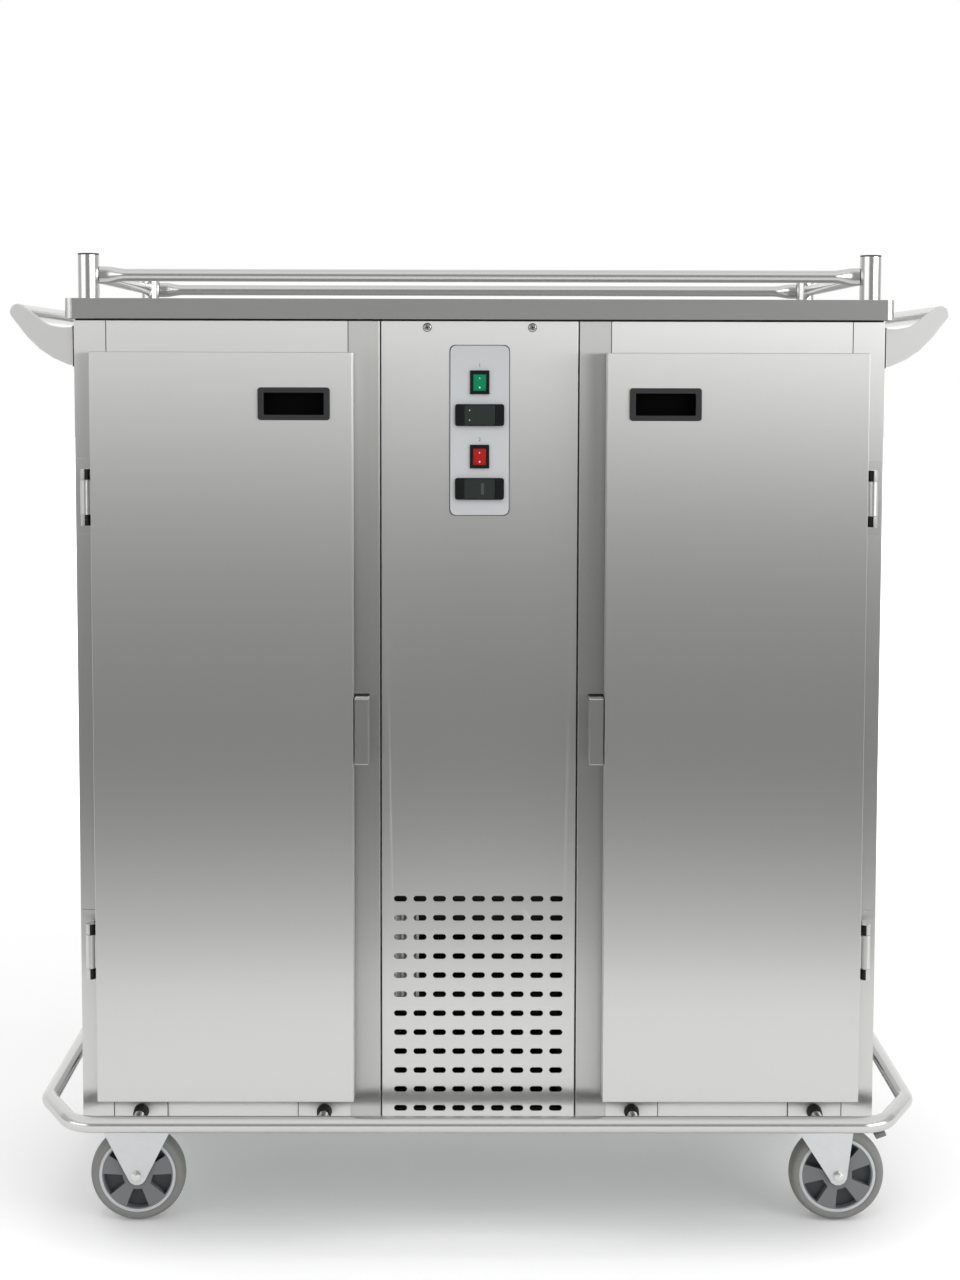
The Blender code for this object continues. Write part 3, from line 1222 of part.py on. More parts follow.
def wheel(name, x, y, start_degrees):
    """Tyre and hub, turning about the axle bolt; the hub's first pocket is at start_degrees."""
    half, crown = TYRE_WIDTH / 2, WHEEL_RADIUS - TYRE_CROWN_DROP
    inner = HUB_RADIUS + SEAT_GAP
    shoulder = WHEEL_RADIUS - TYRE_SHOULDER
    flat = half - TYRE_SHOULDER
    profile = [(inner, half), (shoulder, half), (crown, flat), (WHEEL_RADIUS, 0)]
    profile += [(crown, -flat), (shoulder, -half), (inner, -half)]
    place = (x, y, WHEEL_RADIUS)
    tyre = part(turned(f"{name}_tyre", profile, place, (0, -1, 0), WHEEL_STEPS, closed=True), TYRE_RUBBER)
    bore, boss, boss_half = AXLE_RADIUS + HUB_BORE_CLEARANCE, HUB_BOSS_RADIUS, HUB_BOSS_WIDTH / 2
    rim_half = HUB_WIDTH / 2
    profile = [(bore, boss_half), (boss, boss_half), (boss, rim_half), (HUB_RADIUS, rim_half)]
    profile += [(radius, -height) for radius, height in reversed(profile)]
    hub = as_mesh(turned(f"{name}_hub", profile, place, (0, -1, 0), WHEEL_STEPS, closed=True))
    for pocket in range(HUB_POCKETS):
        middle = start_degrees + 360 * pocket / HUB_POCKETS
        low, high = middle - HUB_POCKET_SPREAD_DEGREES / 2, middle + HUB_POCKET_SPREAD_DEGREES / 2
        outline = arc((x, WHEEL_RADIUS), HUB_POCKET_OUTER, low, high, HUB_POCKET_STEPS)
        outline += arc((x, WHEEL_RADIUS), HUB_POCKET_INNER, high, low, 1)
        for face in (-1, 1):
            depth = span(face, rim_half - HUB_POCKET_DEPTH, rim_half + OVERRUN)
            cut(hub, plate(f"{name}_hub_pocket_{pocket}_{face}", outline, (y + depth[0], y + depth[1])))
    return tyre, part(hub, GREY_PLASTIC)


def fixed_caster(end, word):
    x, y = -CASTER_X, end * CASTER_Y
    half = CASTER_PLATE_LENGTH / 2
    plate_y = around(y, CASTER_PLATE_WIDTH)
    fork = box(f"{word}_fork", (x - half, x + half), plate_y, (FORK_PLATE_BOTTOM, FORK_PLATE_TOP))
    shoulder = FORK_PLATE_BOTTOM - FIXED_FORK_SHOULDER
    outline = arc((x, WHEEL_RADIUS), FORK_TIP_RADIUS, *FIXED_FORK_TIP_DEGREES, FORK_TIP_STEPS)
    top = FORK_PLATE_BOTTOM + FORK_SHEET / 2
    outline += [(x + half, shoulder), (x + half, top), (x - half, top), (x - half, shoulder)]
    join(fork, *cheek_pair(word, outline, y), *axle(word, x, y))
    part(fork, ZINC)
    turning = wheel(word, x, y, FIXED_HUB_START_DEGREES)
    carry(empty_at(f"{word}_axle", (x, y, WHEEL_RADIUS)), *turning)


def swivel_head(x, y, word):
    half = CASTER_PLATE_LENGTH / 2
    plate_y = around(y, CASTER_PLATE_WIDTH)
    head = box(f"{word}_swivel_head", (x - half, x + half), plate_y, (FORK_PLATE_BOTTOM, FORK_PLATE_TOP))
    race = (CROWN_TOP + RUNNING_GAP, FORK_PLATE_BOTTOM + FORK_SHEET / 2)
    race_ends = [(x, y, height) for height in race]
    join(head, cylinder(f"{word}_race", SWIVEL_RACE_RADIUS, *race_ends, DISC_SIDES))
    nut_top = CROWN_BOTTOM - RUNNING_GAP
    nut_bottom = nut_top - KINGPIN_NUT_HEIGHT
    pin = [(x, y, height) for height in (nut_bottom + KINGPIN_NUT_HEIGHT / 2, race[0] + WELD_OVERLAP)]
    join(head, cylinder(f"{word}_kingpin", KINGPIN_RADIUS, *pin))
    nut = [(x, y, height) for height in (nut_bottom, nut_top)]
    join(head, cylinder(f"{word}_kingpin_nut", KINGPIN_NUT_RADIUS, *nut, NUT_SIDES))
    part(head, ZINC)


def brake_pedal(x, y, word):
    """A pedal with a shoe under it, drawn about its pin and then turned to its slope."""
    pivot = (x + PEDAL_PIVOT_FORWARD, y, PEDAL_PIVOT_HEIGHT)
    half = PEDAL_WIDTH / 2
    eye = [(0, end * half, 0) for end in (-1, 1)]
    pedal = cylinder(f"{word}_brake_pedal", PEDAL_EYE_RADIUS, *eye)
    start = PEDAL_PIN_RADIUS + PEDAL_PIN_CLEARANCE
    arm_z = around(0, PEDAL_THICKNESS)
    arm = box(f"{word}_pedal_arm", (start, PEDAL_LENGTH - PEDAL_PAD_LENGTH / 2), (-half, half), arm_z)
    pad_x = (PEDAL_LENGTH - PEDAL_PAD_LENGTH, PEDAL_LENGTH)
    pad_y = around(0, PEDAL_PAD_WIDTH)
    pad = rounded_box(
        f"{word}_pedal_pad", pad_x, pad_y, around(0, PEDAL_PAD_THICKNESS), PEDAL_THICKNESS, 1
    )
    shoe_x = (PEDAL_SHOE_START, PEDAL_SHOE_START + PEDAL_SHOE_LENGTH)
    shoe = box(f"{word}_pedal_shoe", shoe_x, around(0, PEDAL_SHOE_WIDTH), (-PEDAL_SHOE_DROP, 0))
    hole = [(0, end * (half + OVERRUN), 0) for end in (-1, 1)]
    join(pedal, arm, pad, shoe)
    bore = cylinder(f"{word}_pedal_bore", PEDAL_PIN_RADIUS + PEDAL_PIN_CLEARANCE, *hole, PIN_SIDES)
    cut(pedal, bore)
    part(pedal, GREY_PLASTIC)
    slope = Matrix.Translation(pivot) @ Matrix.Rotation(math.radians(PEDAL_SLOPE_DEGREES), 4, "Y")
    for obj in (pedal, arm, pad, shoe, bore):
        obj.matrix_world = slope @ obj.matrix_basis
    return pedal, pivot


def swivel_caster(end, word):
    x, y = CASTER_X, end * CASTER_Y
    swivel_head(x, y, word)
    crown_ends = [(x, y, height) for height in (CROWN_BOTTOM, CROWN_TOP)]
    fork = cylinder(f"{word}_fork", SWIVEL_CROWN_RADIUS, *crown_ends, DISC_SIDES)
    wheel_x = x + SWIVEL_TRAIL
    pivot = (x + PEDAL_PIVOT_FORWARD, PEDAL_PIVOT_HEIGHT)
    top = (CROWN_TOP + CROWN_BOTTOM) / 2
    outline = arc((wheel_x, WHEEL_RADIUS), FORK_TIP_RADIUS, *SWIVEL_FORK_TIP_DEGREES, FORK_TIP_STEPS)
    outline += arc(pivot, PEDAL_LUG_RADIUS, *PEDAL_LUG_DEGREES, PEDAL_LUG_STEPS)
    front = x - SWIVEL_FORK_LEADING
    outline += [(front, top), (front, CROWN_BOTTOM - SWIVEL_CROWN_HEIGHT)]
    join(fork, *cheek_pair(word, outline, y), *axle(word, wheel_x, y))
    reach = FORK_INNER_WIDTH / 2 + FORK_SHEET / 2
    pin = [(pivot[0], y + side * reach, pivot[1]) for side in (-1, 1)]
    join(fork, cylinder(f"{word}_pedal_pin", PEDAL_PIN_RADIUS, *pin, PIN_SIDES))
    bore = [(x, y, height) for height in (CROWN_BOTTOM - OVERRUN, CROWN_TOP + OVERRUN)]
    cut(fork, cylinder(f"{word}_kingpin_bore", KINGPIN_RADIUS + KINGPIN_CLEARANCE, *bore))
    part(fork, ZINC)
    pedal, pedal_pivot = brake_pedal(x, y, word)
    swivel = empty_at(f"{word}_swivel_axis", (x, y, CROWN_TOP))
    wheel_axis = empty_at(f"{word}_axle", (wheel_x, y, WHEEL_RADIUS))
    pedal_axis = empty_at(f"{word}_pedal_axis", pedal_pivot)
    carry(wheel_axis, *wheel(word, wheel_x, y, SWIVEL_HUB_START_DEGREES))
    carry(pedal_axis, pedal)
    carry(swivel, fork, wheel_axis, pedal_axis)


def main():
    clear_scene()
    base_frame()
    column_panels()
    top_deck()
    gallery()
    bumper_ring()
    control_plate()
    for side, word in ((LEFT, "left"), (RIGHT, "right")):
        compartment(side, word)
        push_handle(side, word)
        door(side, word)
        catch_cover(side, word)
        runner_rack(side, word)
        evaporator(side, word)
    for place, z, finish in zip(("lower", "upper"), SWITCH_HEIGHTS, (RED_CAP, GREEN_CAP)):
        rocker_switch(place, z, finish)
    for place, z in zip(("lower", "upper"), CONTROLLER_HEIGHTS):
        controller(place, z)
    condenser()
    compressor()
    electric_box()
    for end, word in ((-1, "front"), (1, "rear")):
        fixed_caster(end, f"left_{word}")
        swivel_caster(end, f"right_{word}")


main()
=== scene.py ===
"""The looks of the refrigerated food cart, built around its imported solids.

Lengths are in millimetres and turned to metres where a mesh is finished. The doors face -Y.
"""

import math

import bmesh
import bpy
from mathutils import Matrix, Vector


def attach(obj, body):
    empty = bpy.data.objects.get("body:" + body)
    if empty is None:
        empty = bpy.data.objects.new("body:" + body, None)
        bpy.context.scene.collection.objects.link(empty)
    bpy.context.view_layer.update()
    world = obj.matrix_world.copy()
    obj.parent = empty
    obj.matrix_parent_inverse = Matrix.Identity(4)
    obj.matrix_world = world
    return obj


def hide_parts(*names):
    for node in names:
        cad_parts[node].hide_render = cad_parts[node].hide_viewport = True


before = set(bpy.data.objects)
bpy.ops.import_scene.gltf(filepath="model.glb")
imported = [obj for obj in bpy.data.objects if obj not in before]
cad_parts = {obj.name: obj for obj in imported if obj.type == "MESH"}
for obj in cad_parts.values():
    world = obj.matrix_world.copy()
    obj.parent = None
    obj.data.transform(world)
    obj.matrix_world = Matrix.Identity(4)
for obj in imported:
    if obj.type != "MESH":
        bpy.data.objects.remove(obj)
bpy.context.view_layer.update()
MM = 0.001
UP = Vector((0, 0, 1))
CART = "cart"
SIDES = ((-1, "left"), (1, "right"))
ENDS = ((-1, "front"), (1, "rear"))

# Where the solids lie, in millimetres, as in the part's source
CABINET_HALF, CABINET_FRONT, CABINET_BACK = 648, -350, 350
CABINET_BOTTOM, CABINET_TOP = 210, 1513
COLUMN_HALF, PANEL_HALF, PANEL_SHEET, PANEL_FLANGE = 160, 157.5, 1.2, 15
OPENING_X, OPENING_HALF, OPENING_BACK = 407, 175, 290
OPENING_BOTTOM, OPENING_TOP = 277.5, 1435.5
DOOR_FRONT = -395
DECK_BOTTOM, DECK_TOP = 1513.3, 1545.3
HINGE_X, HINGE_Y, HINGE_HEIGHTS = 627.5, -378, (("lower", 493.5), ("upper", 1229.5))
PLATE_FRONT, BEZEL_FRONT = -351.8, -355.8
SWITCH_HEIGHTS = (("lower", 1294.5), ("upper", 1413.3))
CONTROLLER_HEIGHTS = (("lower", 1242.8), ("upper", 1361.0))
AXLE_HEIGHT, AXLE_Y = 80, 252
FIXED_AXLE_X, SWIVEL_AXLE_X, SWIVEL_X = -573, 607, 573

# Reach within which a point counts as lying on a line or a face
NEAR = 0.1


# Materials

METAL = 1.0
GROUND_FINISHES = []


def linear(code):
    """An sRGB hex colour as linear RGBA."""
    values = [int(code[i : i + 2], 16) / 255 for i in (1, 3, 5)]
    return (*[v / 12.92 if v <= 0.04045 else ((v + 0.055) / 1.055) ** 2.4 for v in values], 1)


def add_node(tree, kind, inputs=None, **settings):
    """Adds a node with its settings, and links or sets its inputs."""
    made = tree.nodes.new(kind)
    for name, value in settings.items():
        setattr(made, name, value)
    for name, value in (inputs or {}).items():
        if isinstance(value, bpy.types.NodeSocket):
            tree.links.new(value, made.inputs[name])
        else:
            made.inputs[name].default_value = value
    return made


def grain(tree, shader, across, along, roughness, lift, detail=2.0):
    """Drawn-out streaks: brush lines that are `across` mm apart and `along` mm long on each axis."""
    place = add_node(tree, "ShaderNodeTexCoord").outputs["Object"]
    scale = [1 / (size * MM) for size in (across[0], across[1], along)]
    stretch = {"Vector": place, "Scale": scale}
    stretched = add_node(tree, "ShaderNodeMapping", stretch).outputs["Vector"]
    pattern = {"Vector": stretched, "Scale": 1.0, "Detail": detail, "Roughness": 0.65}
    streaks = add_node(tree, "ShaderNodeTexNoise", pattern).outputs["Fac"]
    low, high = roughness
    limits = {"Value": streaks, "From Min": 0.3, "From Max": 0.7, "To Min": low, "To Max": high}
    spread = add_node(tree, "ShaderNodeMapRange", limits)
    tree.links.new(spread.outputs["Result"], shader.inputs["Roughness"])
    bump = add_node(tree, "ShaderNodeBump", {"Height": streaks, "Strength": 1.0, "Distance": lift * MM})
    tree.links.new(bump.outputs["Normal"], shader.inputs["Normal"])
    return streaks


def even(size, low, high, lift, detail=2.0):
    """What `grain` takes for a texture that is the same in all directions."""
    return (size, size), size, (low, high), lift, detail


def finish(name, slot, colour, roughness, metallic=0.0, marks=None, shades=None, **sockets):
    """A material, with its grain and the two shades that run along it.

    Stretched highlights turn with a piece's own map, whose U lies level on every upright face.
    """
    material = bpy.data.materials.new(name)
    material.use_nodes = True
    material.diffuse_color = linear(colour)
    tree = material.node_tree
    shader = tree.nodes["Principled BSDF"]
    values = {"Base Color": linear(colour), "Roughness": roughness, "Metallic": metallic, **sockets}
    for socket, value in values.items():
        shader.inputs[socket.replace("_", " ")].default_value = value
    streaks = grain(tree, shader, *marks) if marks else None
    if shades:
        blend = {0: streaks, 6: linear(shades[0]), 7: linear(shades[1])}
        shade = add_node(tree, "ShaderNodeMix", blend, data_type="RGBA")
        tree.links.new(shade.outputs[2], shader.inputs["Base Color"])
    if "Anisotropic" in sockets:
        way = add_node(tree, "ShaderNodeTangent", direction_type="UV_MAP", uv_map="grain")
        tree.links.new(way.outputs["Tangent"], shader.inputs["Tangent"])
        GROUND_FINISHES.append(material)
    return material


# Satin stainless sheet, ground with its grain upright: soft reflections that smear sideways.
# Real grain is about 0.1 mm apart, drawn here at 1 mm so that it shows.
marks, shades = ((1.0, 1.0), 220, (0.295, 0.305), 0.0001), ("#CFCFCE", "#D1D1D0")
sheet = ("brushed_steel", "#D0D0CF", 0.3, METAL, marks, shades)
stainless_upright = finish("stainless_upright_grain", *sheet, Anisotropic=1.0)

# The inner stiles' sheet: the same satin, drawn a shade deeper as painted shade from the proud doors; the
# catch covers use it too.
sheet = ("brushed_steel", "#BABAB9", 0.3, METAL, marks, ("#B9B9B8", "#BBBBBA"))
stile_shade_steel = finish("stile_painted_shade_grain", *sheet, Anisotropic=1.0)

# The same sheet with its grain lying along the cart, as on the worktop.
marks, shades = ((220, 1.0), 1.0, (0.32, 0.36), 0.0006), ("#B6B6B5", "#BABAB9")
sheet = ("brushed_steel", "#C9C9C8", 0.34, METAL, marks, shades)
stainless_lying = finish("stainless_lying_grain", *sheet, Anisotropic=0.5, Anisotropic_Rotation=0.25)

# Stainless tube, polished before it was bent: tighter highlights with faint rings.
marks = even(9, 0.16, 0.22, 0.002)
stainless_tube = finish("stainless_tube", "brushed_steel", "#CFCFCE", 0.19, METAL, marks)

# Plain rolled stainless of hinge leaves, liners and racks: a milky satin.
marks = ((14, 14), 40, (0.28, 0.3), 0.0001)
stainless_plain = finish("stainless_rolled", "plain_steel", "#CCCCCA", 0.28, METAL, marks)

# Bead-blasted aluminium of the push handles' arms: pale, matte, no clear reflections.
marks = even(0.9, 0.44, 0.56, 0.02)
blasted_aluminium = finish("blasted_aluminium", "brushed_steel", "#DCDCDB", 0.5, METAL, marks)

# Zinc-plated pressed steel of the casters: bluish, bright and slightly cloudy.
marks, shades = even(22, 0.28, 0.42, 0.01, 4.0), ("#C6C9CB", "#DBDCDC")
zinc_plate = finish("zinc_plate", "zinc_plate", "#DEE0E1", 0.34, METAL, marks, shades)

# Aluminium fins, rolled thin: dull silver.
marks = ((3, 3), 30, (0.36, 0.48), 0.01)
fin_aluminium = finish("fin_aluminium", "aluminium", "#C9CBCC", 0.4, METAL, marks)

# Dip-lacquered black steel of the condenser; its black also paints the shade inside the column behind the
# vents.
black_lacquer_and_shade = finish("black_lacquer_and_shade", "aluminium", "#18191A", 0.5, 0, even(2, 0.42, 0.6, 0.02))

# Copper refrigerant tube, drawn and slightly tarnished.
copper_tube = finish("copper_tube", "aluminium", "#C98A62", 0.3, METAL)

# Grey polyamide of the wheel centres, injection moulded: matte with a fine orange peel.
grey_polyamide = finish("grey_polyamide", "grey_plastic", "#6C6D6F", 0.5, 0, even(0.8, 0.46, 0.58, 0.02))

# Polyamide of the thin ring between wheel centre and tread, drawn pale: a painted highlight on its moulded
# edge.
ring_highlight_polyamide = finish("ring_highlight_polyamide", "grey_plastic", "#B9BABB", 0.45, 0, even(0.8, 0.4, 0.52, 0.02))

# Grey thermoplastic rubber of the treads: matte, a little paler where it was moulded smooth.
marks, shades = even(1.6, 0.66, 0.82, 0.03), ("#737371", "#7E7E7C")
grey_tread = finish("grey_tread", "tyre_rubber", "#868684", 0.72, 0, marks, shades)

# Black polyamide of the pulls' frames, with a fine spark-eroded texture.
marks = even(0.7, 0.36, 0.5, 0.015)
black_polyamide = finish("black_polyamide", "black_plastic", "#1B1C1E", 0.42, 0, marks)

# Black plastic inside the pulls, drawn near pure black: the plastic's own black with painted shade of the
# deep recess.
marks = even(0.7, 0.54, 0.66, 0.01)
pocket_shade_black = finish("pocket_shade_black", "black_plastic", "#030303", 0.6, 0, marks, Specular_IOR_Level=0.05)

# Smoked polycarbonate over the displays: near black and glossy.
smoked_window = finish("smoked_window", "black_plastic", "#1B221F", 0.08, Coat_Weight=0.3)

# Polished black ABS of the controllers and the switches; the hinges' black half shells use it too.
marks = even(2, 0.22, 0.3, 0.004)
gloss_black = finish("gloss_black_abs", "black_plastic", "#0B0C0D", 0.25, 0, marks, Specular_IOR_Level=0.3)

# Light PVC of the wiring duct behind the vents: plain and matte.
duct_pvc = finish("duct_pvc", "grey_plastic", "#B9BBBC", 0.5, 0, even(2, 0.44, 0.56, 0.01))

# Glossy ABS of the lit rocker caps.
green_abs = finish("green_abs", "green_cap", "#03734E", 0.3, Specular_IOR_Level=0.15)
red_abs = finish("red_abs", "red_cap", "#971816", 0.3, Specular_IOR_Level=0.15)

# Matte ink: white print on the caps, black print on the plate.
white_print = finish("white_print", "black_plastic", "#F2F2EE", 0.5)
black_print = finish("black_print", "black_plastic", "#303234", 0.55)

# Small indicator lights behind the window: clear green epoxy with a faint glow.
glow = {"Emission_Color": linear("#3FD08A"), "Emission_Strength": 0.8}
green_lamp = finish("green_lamp", "green_cap", "#3FD08A", 0.3, **glow)

# Anodised aluminium control plate: pale, smooth and matte.
anodised_plate = finish("anodised_plate", "plain_steel", "#ABADAF", 0.38, 0, even(0.9, 0.34, 0.42, 0.006))

# EPDM of the door seals and the compressor's feet: dark grey, dull.
seal_rubber = finish("seal_rubber", "seal_rubber", "#5B5C5C", 0.7)

# Black sealant in joints and seams: they read as dark lines. The same black paints shade: a shadow strip
# under the worktop, a shadow line above each catch cover, shade in and round the screw heads, and on the
# bumper stubs' collars.
dark_joint_and_shade = finish("dark_joint_and_shade_filler", "seal_rubber", "#202121", 0.8)

# Moulded polyethylene caps of the gallery posts: nearly black, matte.
post_cap = finish("grey_post_cap", "grey_plastic", "#262728", 0.5)

# Stoved black enamel of the compressor's shell: deep and glossy, a little wavy.
marks = even(4, 0.26, 0.36, 0.03)
black_enamel = finish("black_enamel", "black_enamel", "#202224", 0.3, 0, marks, Coat_Weight=0.4)

# Dark grey ABS of the electric box and the fan: moulded, matte.
dark_abs = finish("dark_abs", "grey_plastic", "#34363A", 0.5, 0, even(0.8, 0.44, 0.56, 0.02))

# Nickel-plated screw and bolt heads: bright.
nickel = finish("nickel_screw", "plain_steel", "#D9D9D6", 0.22, METAL)


# Shaping


def fresh(count):
    """Empty meshes to shape pieces in."""
    return [bmesh.new() for _ in range(count)]


def around(middle, half):
    """The bounds on both sides of a middle."""
    return middle - half, middle + half


def on_side(side, near, far):
    """The bounds between two distances from the middle plane, on one side of it."""
    return sorted((side * near, side * far))


def from_front(near, far):
    """The bounds between two depths behind the cabinet's front; what stands proud is negative."""
    return CABINET_FRONT + near, CABINET_FRONT + far


def block(bm, x, y, z):
    """A box between its bounds on each axis. Returns its corners."""
    made = bmesh.ops.create_cube(bm, size=1)["verts"]
    bmesh.ops.scale(bm, vec=(x[1] - x[0], y[1] - y[0], z[1] - z[0]), verts=made)
    bmesh.ops.translate(bm, vec=((x[0] + x[1]) / 2, (y[0] + y[1]) / 2, (z[0] + z[1]) / 2), verts=made)
    return made


def edges_of(verts, axis=None):
    """The edges between these vertices, or those of them that run along one axis."""
    chosen = set(verts)
    edges = {e for v in verts for e in v.link_edges if e.other_vert(v) in chosen}
    if axis is None:
        return list(edges)
    return [e for e in edges if abs((e.verts[1].co - e.verts[0].co).normalized()[axis]) > 0.9]


def turned(bm, verts, place, degrees, axis):
    """Turns vertices about an axis through the origin, then moves them to a place."""
    turn = Matrix.Translation(place) @ Matrix.Rotation(math.radians(degrees), 4, axis)
    bmesh.ops.transform(bm, matrix=turn, verts=verts)


def rounded(bm, edges, radius, segments=3):
    """Rounds edges while a piece is shaped."""
    bmesh.ops.bevel(
        bm, geom=edges, offset=radius, segments=segments, affect="EDGES", profile=0.5, material=-1
    )


def plate(bm, x, y, z, axis, radius, segments=3):
    """A box whose edges along one axis are rounded."""
    rounded(bm, edges_of(block(bm, x, y, z), axis), radius, segments)


def rod(bm, start, end, radius, sides=32, far_radius=None):
    """A round bar or a cone between two points."""
    start, end = Vector(start), Vector(end)
    turn = (end - start).to_track_quat("Z", "Y").to_matrix().to_4x4()
    return bmesh.ops.create_cone(
        bm,
        cap_ends=True,
        segments=sides,
        radius1=radius,
        radius2=radius if far_radius is None else far_radius,
        depth=(end - start).length,
        matrix=Matrix.Translation((start + end) / 2) @ turn,
    )["verts"]


def arc(centre, radius, first, last, steps):
    """The points of an arc between two angles in degrees."""
    angles = [math.radians(first + (last - first) * i / steps) for i in range(steps + 1)]
    return [(centre[0] + radius * math.cos(a), centre[1] + radius * math.sin(a)) for a in angles]


def extruded(bm, outline, move):
    """Draws an outline of points out into a solid. Returns the moved vertices."""
    face = bm.faces.new([bm.verts.new(point) for point in outline])
    made = bmesh.ops.extrude_face_region(bm, geom=[face])["geom"]
    moved = [g for g in made if isinstance(g, bmesh.types.BMVert)]
    bmesh.ops.translate(bm, vec=move, verts=moved)
    return moved


def section(point, along, wide, tall):
    """A frame on a level path, scaled to half the width and half the height of a section."""
    turn = Matrix((UP.cross(along), UP, along)).transposed().to_4x4()
    return Matrix.Translation(point) @ turn @ Matrix.Diagonal((wide, tall, 1, 1))


def sweep(bm, frames, sides=32, closed=False):
    """A tube whose round section, of radius 1, is carried and scaled through a row of frames."""
    made = bmesh.ops.create_circle(bm, cap_ends=not closed, radius=1, segments=sides, matrix=frames[0])
    ring = edges_of(made["verts"])
    for before, after in zip(frames, frames[1:]):
        drawn = bmesh.ops.extrude_edge_only(bm, edges=ring)["geom"]
        verts = [g for g in drawn if isinstance(g, bmesh.types.BMVert)]
        bmesh.ops.transform(bm, matrix=after @ before.inverted(), verts=verts)
        ring = edges_of(verts)
    if not closed:
        bmesh.ops.edgeloop_fill(bm, edges=ring)


def bent_frames(corners, radius, tube, steps, closed=False):
    """Frames along a path of straight runs with round bends, for a tube that lies level."""
    count = len(corners)
    points = []
    for i, corner in enumerate(corners):
        here = Vector(corner)
        if not closed and i in (0, count - 1):
            points.append(here)
            continue
        before = (Vector(corners[i - 1]) - here).normalized()
        after = (Vector(corners[(i + 1) % count]) - here).normalized()
        half_angle = before.angle(after) / 2
        centre = here + (before + after).normalized() * (radius / math.sin(half_angle))
        start = here + before * (radius / math.tan(half_angle))
        swing = math.pi - 2 * half_angle
        turn = 1 if before.cross(after).z < 0 else -1
        for step in range(steps + 1):
            spun = Matrix.Rotation(turn * swing * step / steps, 3, "Z") @ (start - centre)
            points.append(centre + spun)
    if closed:
        points.append(points[0].copy())
    row = [points[-2], *points, points[1]] if closed else [None, *points, None]
    frames = []
    for before, point, after in zip(row, row[1:], row[2:]):
        arriving = after - point if before is None else point - before
        leaving = arriving if after is None else after - point
        along = (arriving.normalized() + leaving.normalized()).normalized()
        frames.append(section(point, along, tube, tube))
    return frames


def both_halves(half):
    """A closed profile from one half of its (radius, height) pairs."""
    return half + [(radius, -height) for radius, height in reversed(half) if height] + [half[0]]


def turned_profile(bm, profile, centre, axis, steps=72):
    """Spins a profile of (radius, height) pairs about an axis through a centre."""
    turn = Vector(axis).to_track_quat("Z", "Y").to_matrix().to_4x4()
    place = Matrix.Translation(centre) @ turn
    verts = [bm.verts.new(place @ Vector((radius, 0, height))) for radius, height in profile]
    edges = [bm.edges.new(pair) for pair in zip(verts, verts[1:])]
    bmesh.ops.spin(
        bm, geom=verts + edges, cent=centre, axis=axis, angle=math.tau, steps=steps, use_merge=True
    )


def add_grain_map(mesh):
    """A map in metres with U level on upright faces, so that the grain's direction is known."""
    grain_map = mesh.uv_layers.get("grain") or mesh.uv_layers.new(name="grain")
    for face in mesh.polygons:
        level = [abs(value) for value in face.normal]
        across = 0 if level[0] < max(level[1:]) else 1
        up = 1 if level[2] == max(level) else 2
        for loop in face.loop_indices:
            place = mesh.vertices[mesh.loops[loop].vertex_index].co
            grain_map.data[loop].uv = (place[across], place[up])


def finished(mesh, material, crease=32):
    """Gives a mesh its one finish and its smooth and sharp edges."""
    if material in GROUND_FINISHES:
        add_grain_map(mesh)
    mesh.materials.clear()
    mesh.materials.append(material)
    mesh.shade_smooth()
    mesh.set_sharp_from_angle(angle=math.radians(crease))


def placed(name, data):
    """Adds an object to the scene."""
    obj = bpy.data.objects.new(name, data)
    bpy.context.scene.collection.objects.link(obj)
    return obj


def as_mesh(bm, name):
    """Turns shaped millimetres into a mesh in metres."""
    bmesh.ops.recalc_face_normals(bm, faces=bm.faces)
    bmesh.ops.scale(bm, vec=(MM, MM, MM), verts=bm.verts)
    mesh = bpy.data.meshes.new(name)
    bm.to_mesh(mesh)
    bm.free()
    return mesh


def as_object(mesh, name, material, body, replaces, crease):
    """Puts a mesh on its body and in the place of its solids."""
    finished(mesh, material, crease)
    obj = placed(name, mesh)
    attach(obj, body)
    if replaces:
        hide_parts(*replaces)
    return obj


def piece(bm, name, material, body=CART, replaces=(), crease=32):
    """Turns shaped millimetres into a finished piece of the cart."""
    bmesh.ops.remove_doubles(bm, verts=bm.verts, dist=0.002)
    return as_object(as_mesh(bm, name), name, material, body, replaces, crease)


def evaluated(obj):
    """A new mesh of an object as its modifiers leave it."""
    bpy.context.view_layer.update()
    graph = bpy.context.evaluated_depsgraph_get()
    return bpy.data.meshes.new_from_object(obj.evaluated_get(graph))


def carved(obj, bm):
    """Cuts shaped millimetres out of a finished piece."""
    cutter = placed(f"{obj.name}_cut", as_mesh(bm, f"{obj.name}_cut"))
    boolean = obj.modifiers.new("cut", "BOOLEAN")
    boolean.solver = "EXACT"
    boolean.object = cutter
    result = evaluated(obj)
    obj.modifiers.remove(boolean)
    bpy.data.objects.remove(cutter)
    material = obj.data.materials[0]
    obj.data = result
    finished(result, material)
    return obj


def softened(obj, chosen, radius, segments=3):
    """Rounds those edges of a finished piece whose two ends, in millimetres, pass a test."""
    bm = bmesh.new()
    bm.from_mesh(obj.data)
    edges = [e for e in bm.edges if chosen(*[v.co / MM for v in e.verts])]
    rounded(bm, edges, radius * MM, segments)
    bm.to_mesh(obj.data)
    bm.free()
    finished(obj.data, obj.data.materials[0])


def eased(obj, radius, segments=2, angle=35):
    """Breaks a piece's edges and keeps its flat faces flat."""
    bevel = obj.modifiers.new("eased edges", "BEVEL")
    bevel.width = radius * MM
    bevel.segments = segments
    bevel.limit_method = "ANGLE"
    bevel.angle_limit = math.radians(angle)
    flat = obj.modifiers.new("flat faces", "WEIGHTED_NORMAL")
    flat.weight = 100
    flat.keep_sharp = False
    return obj


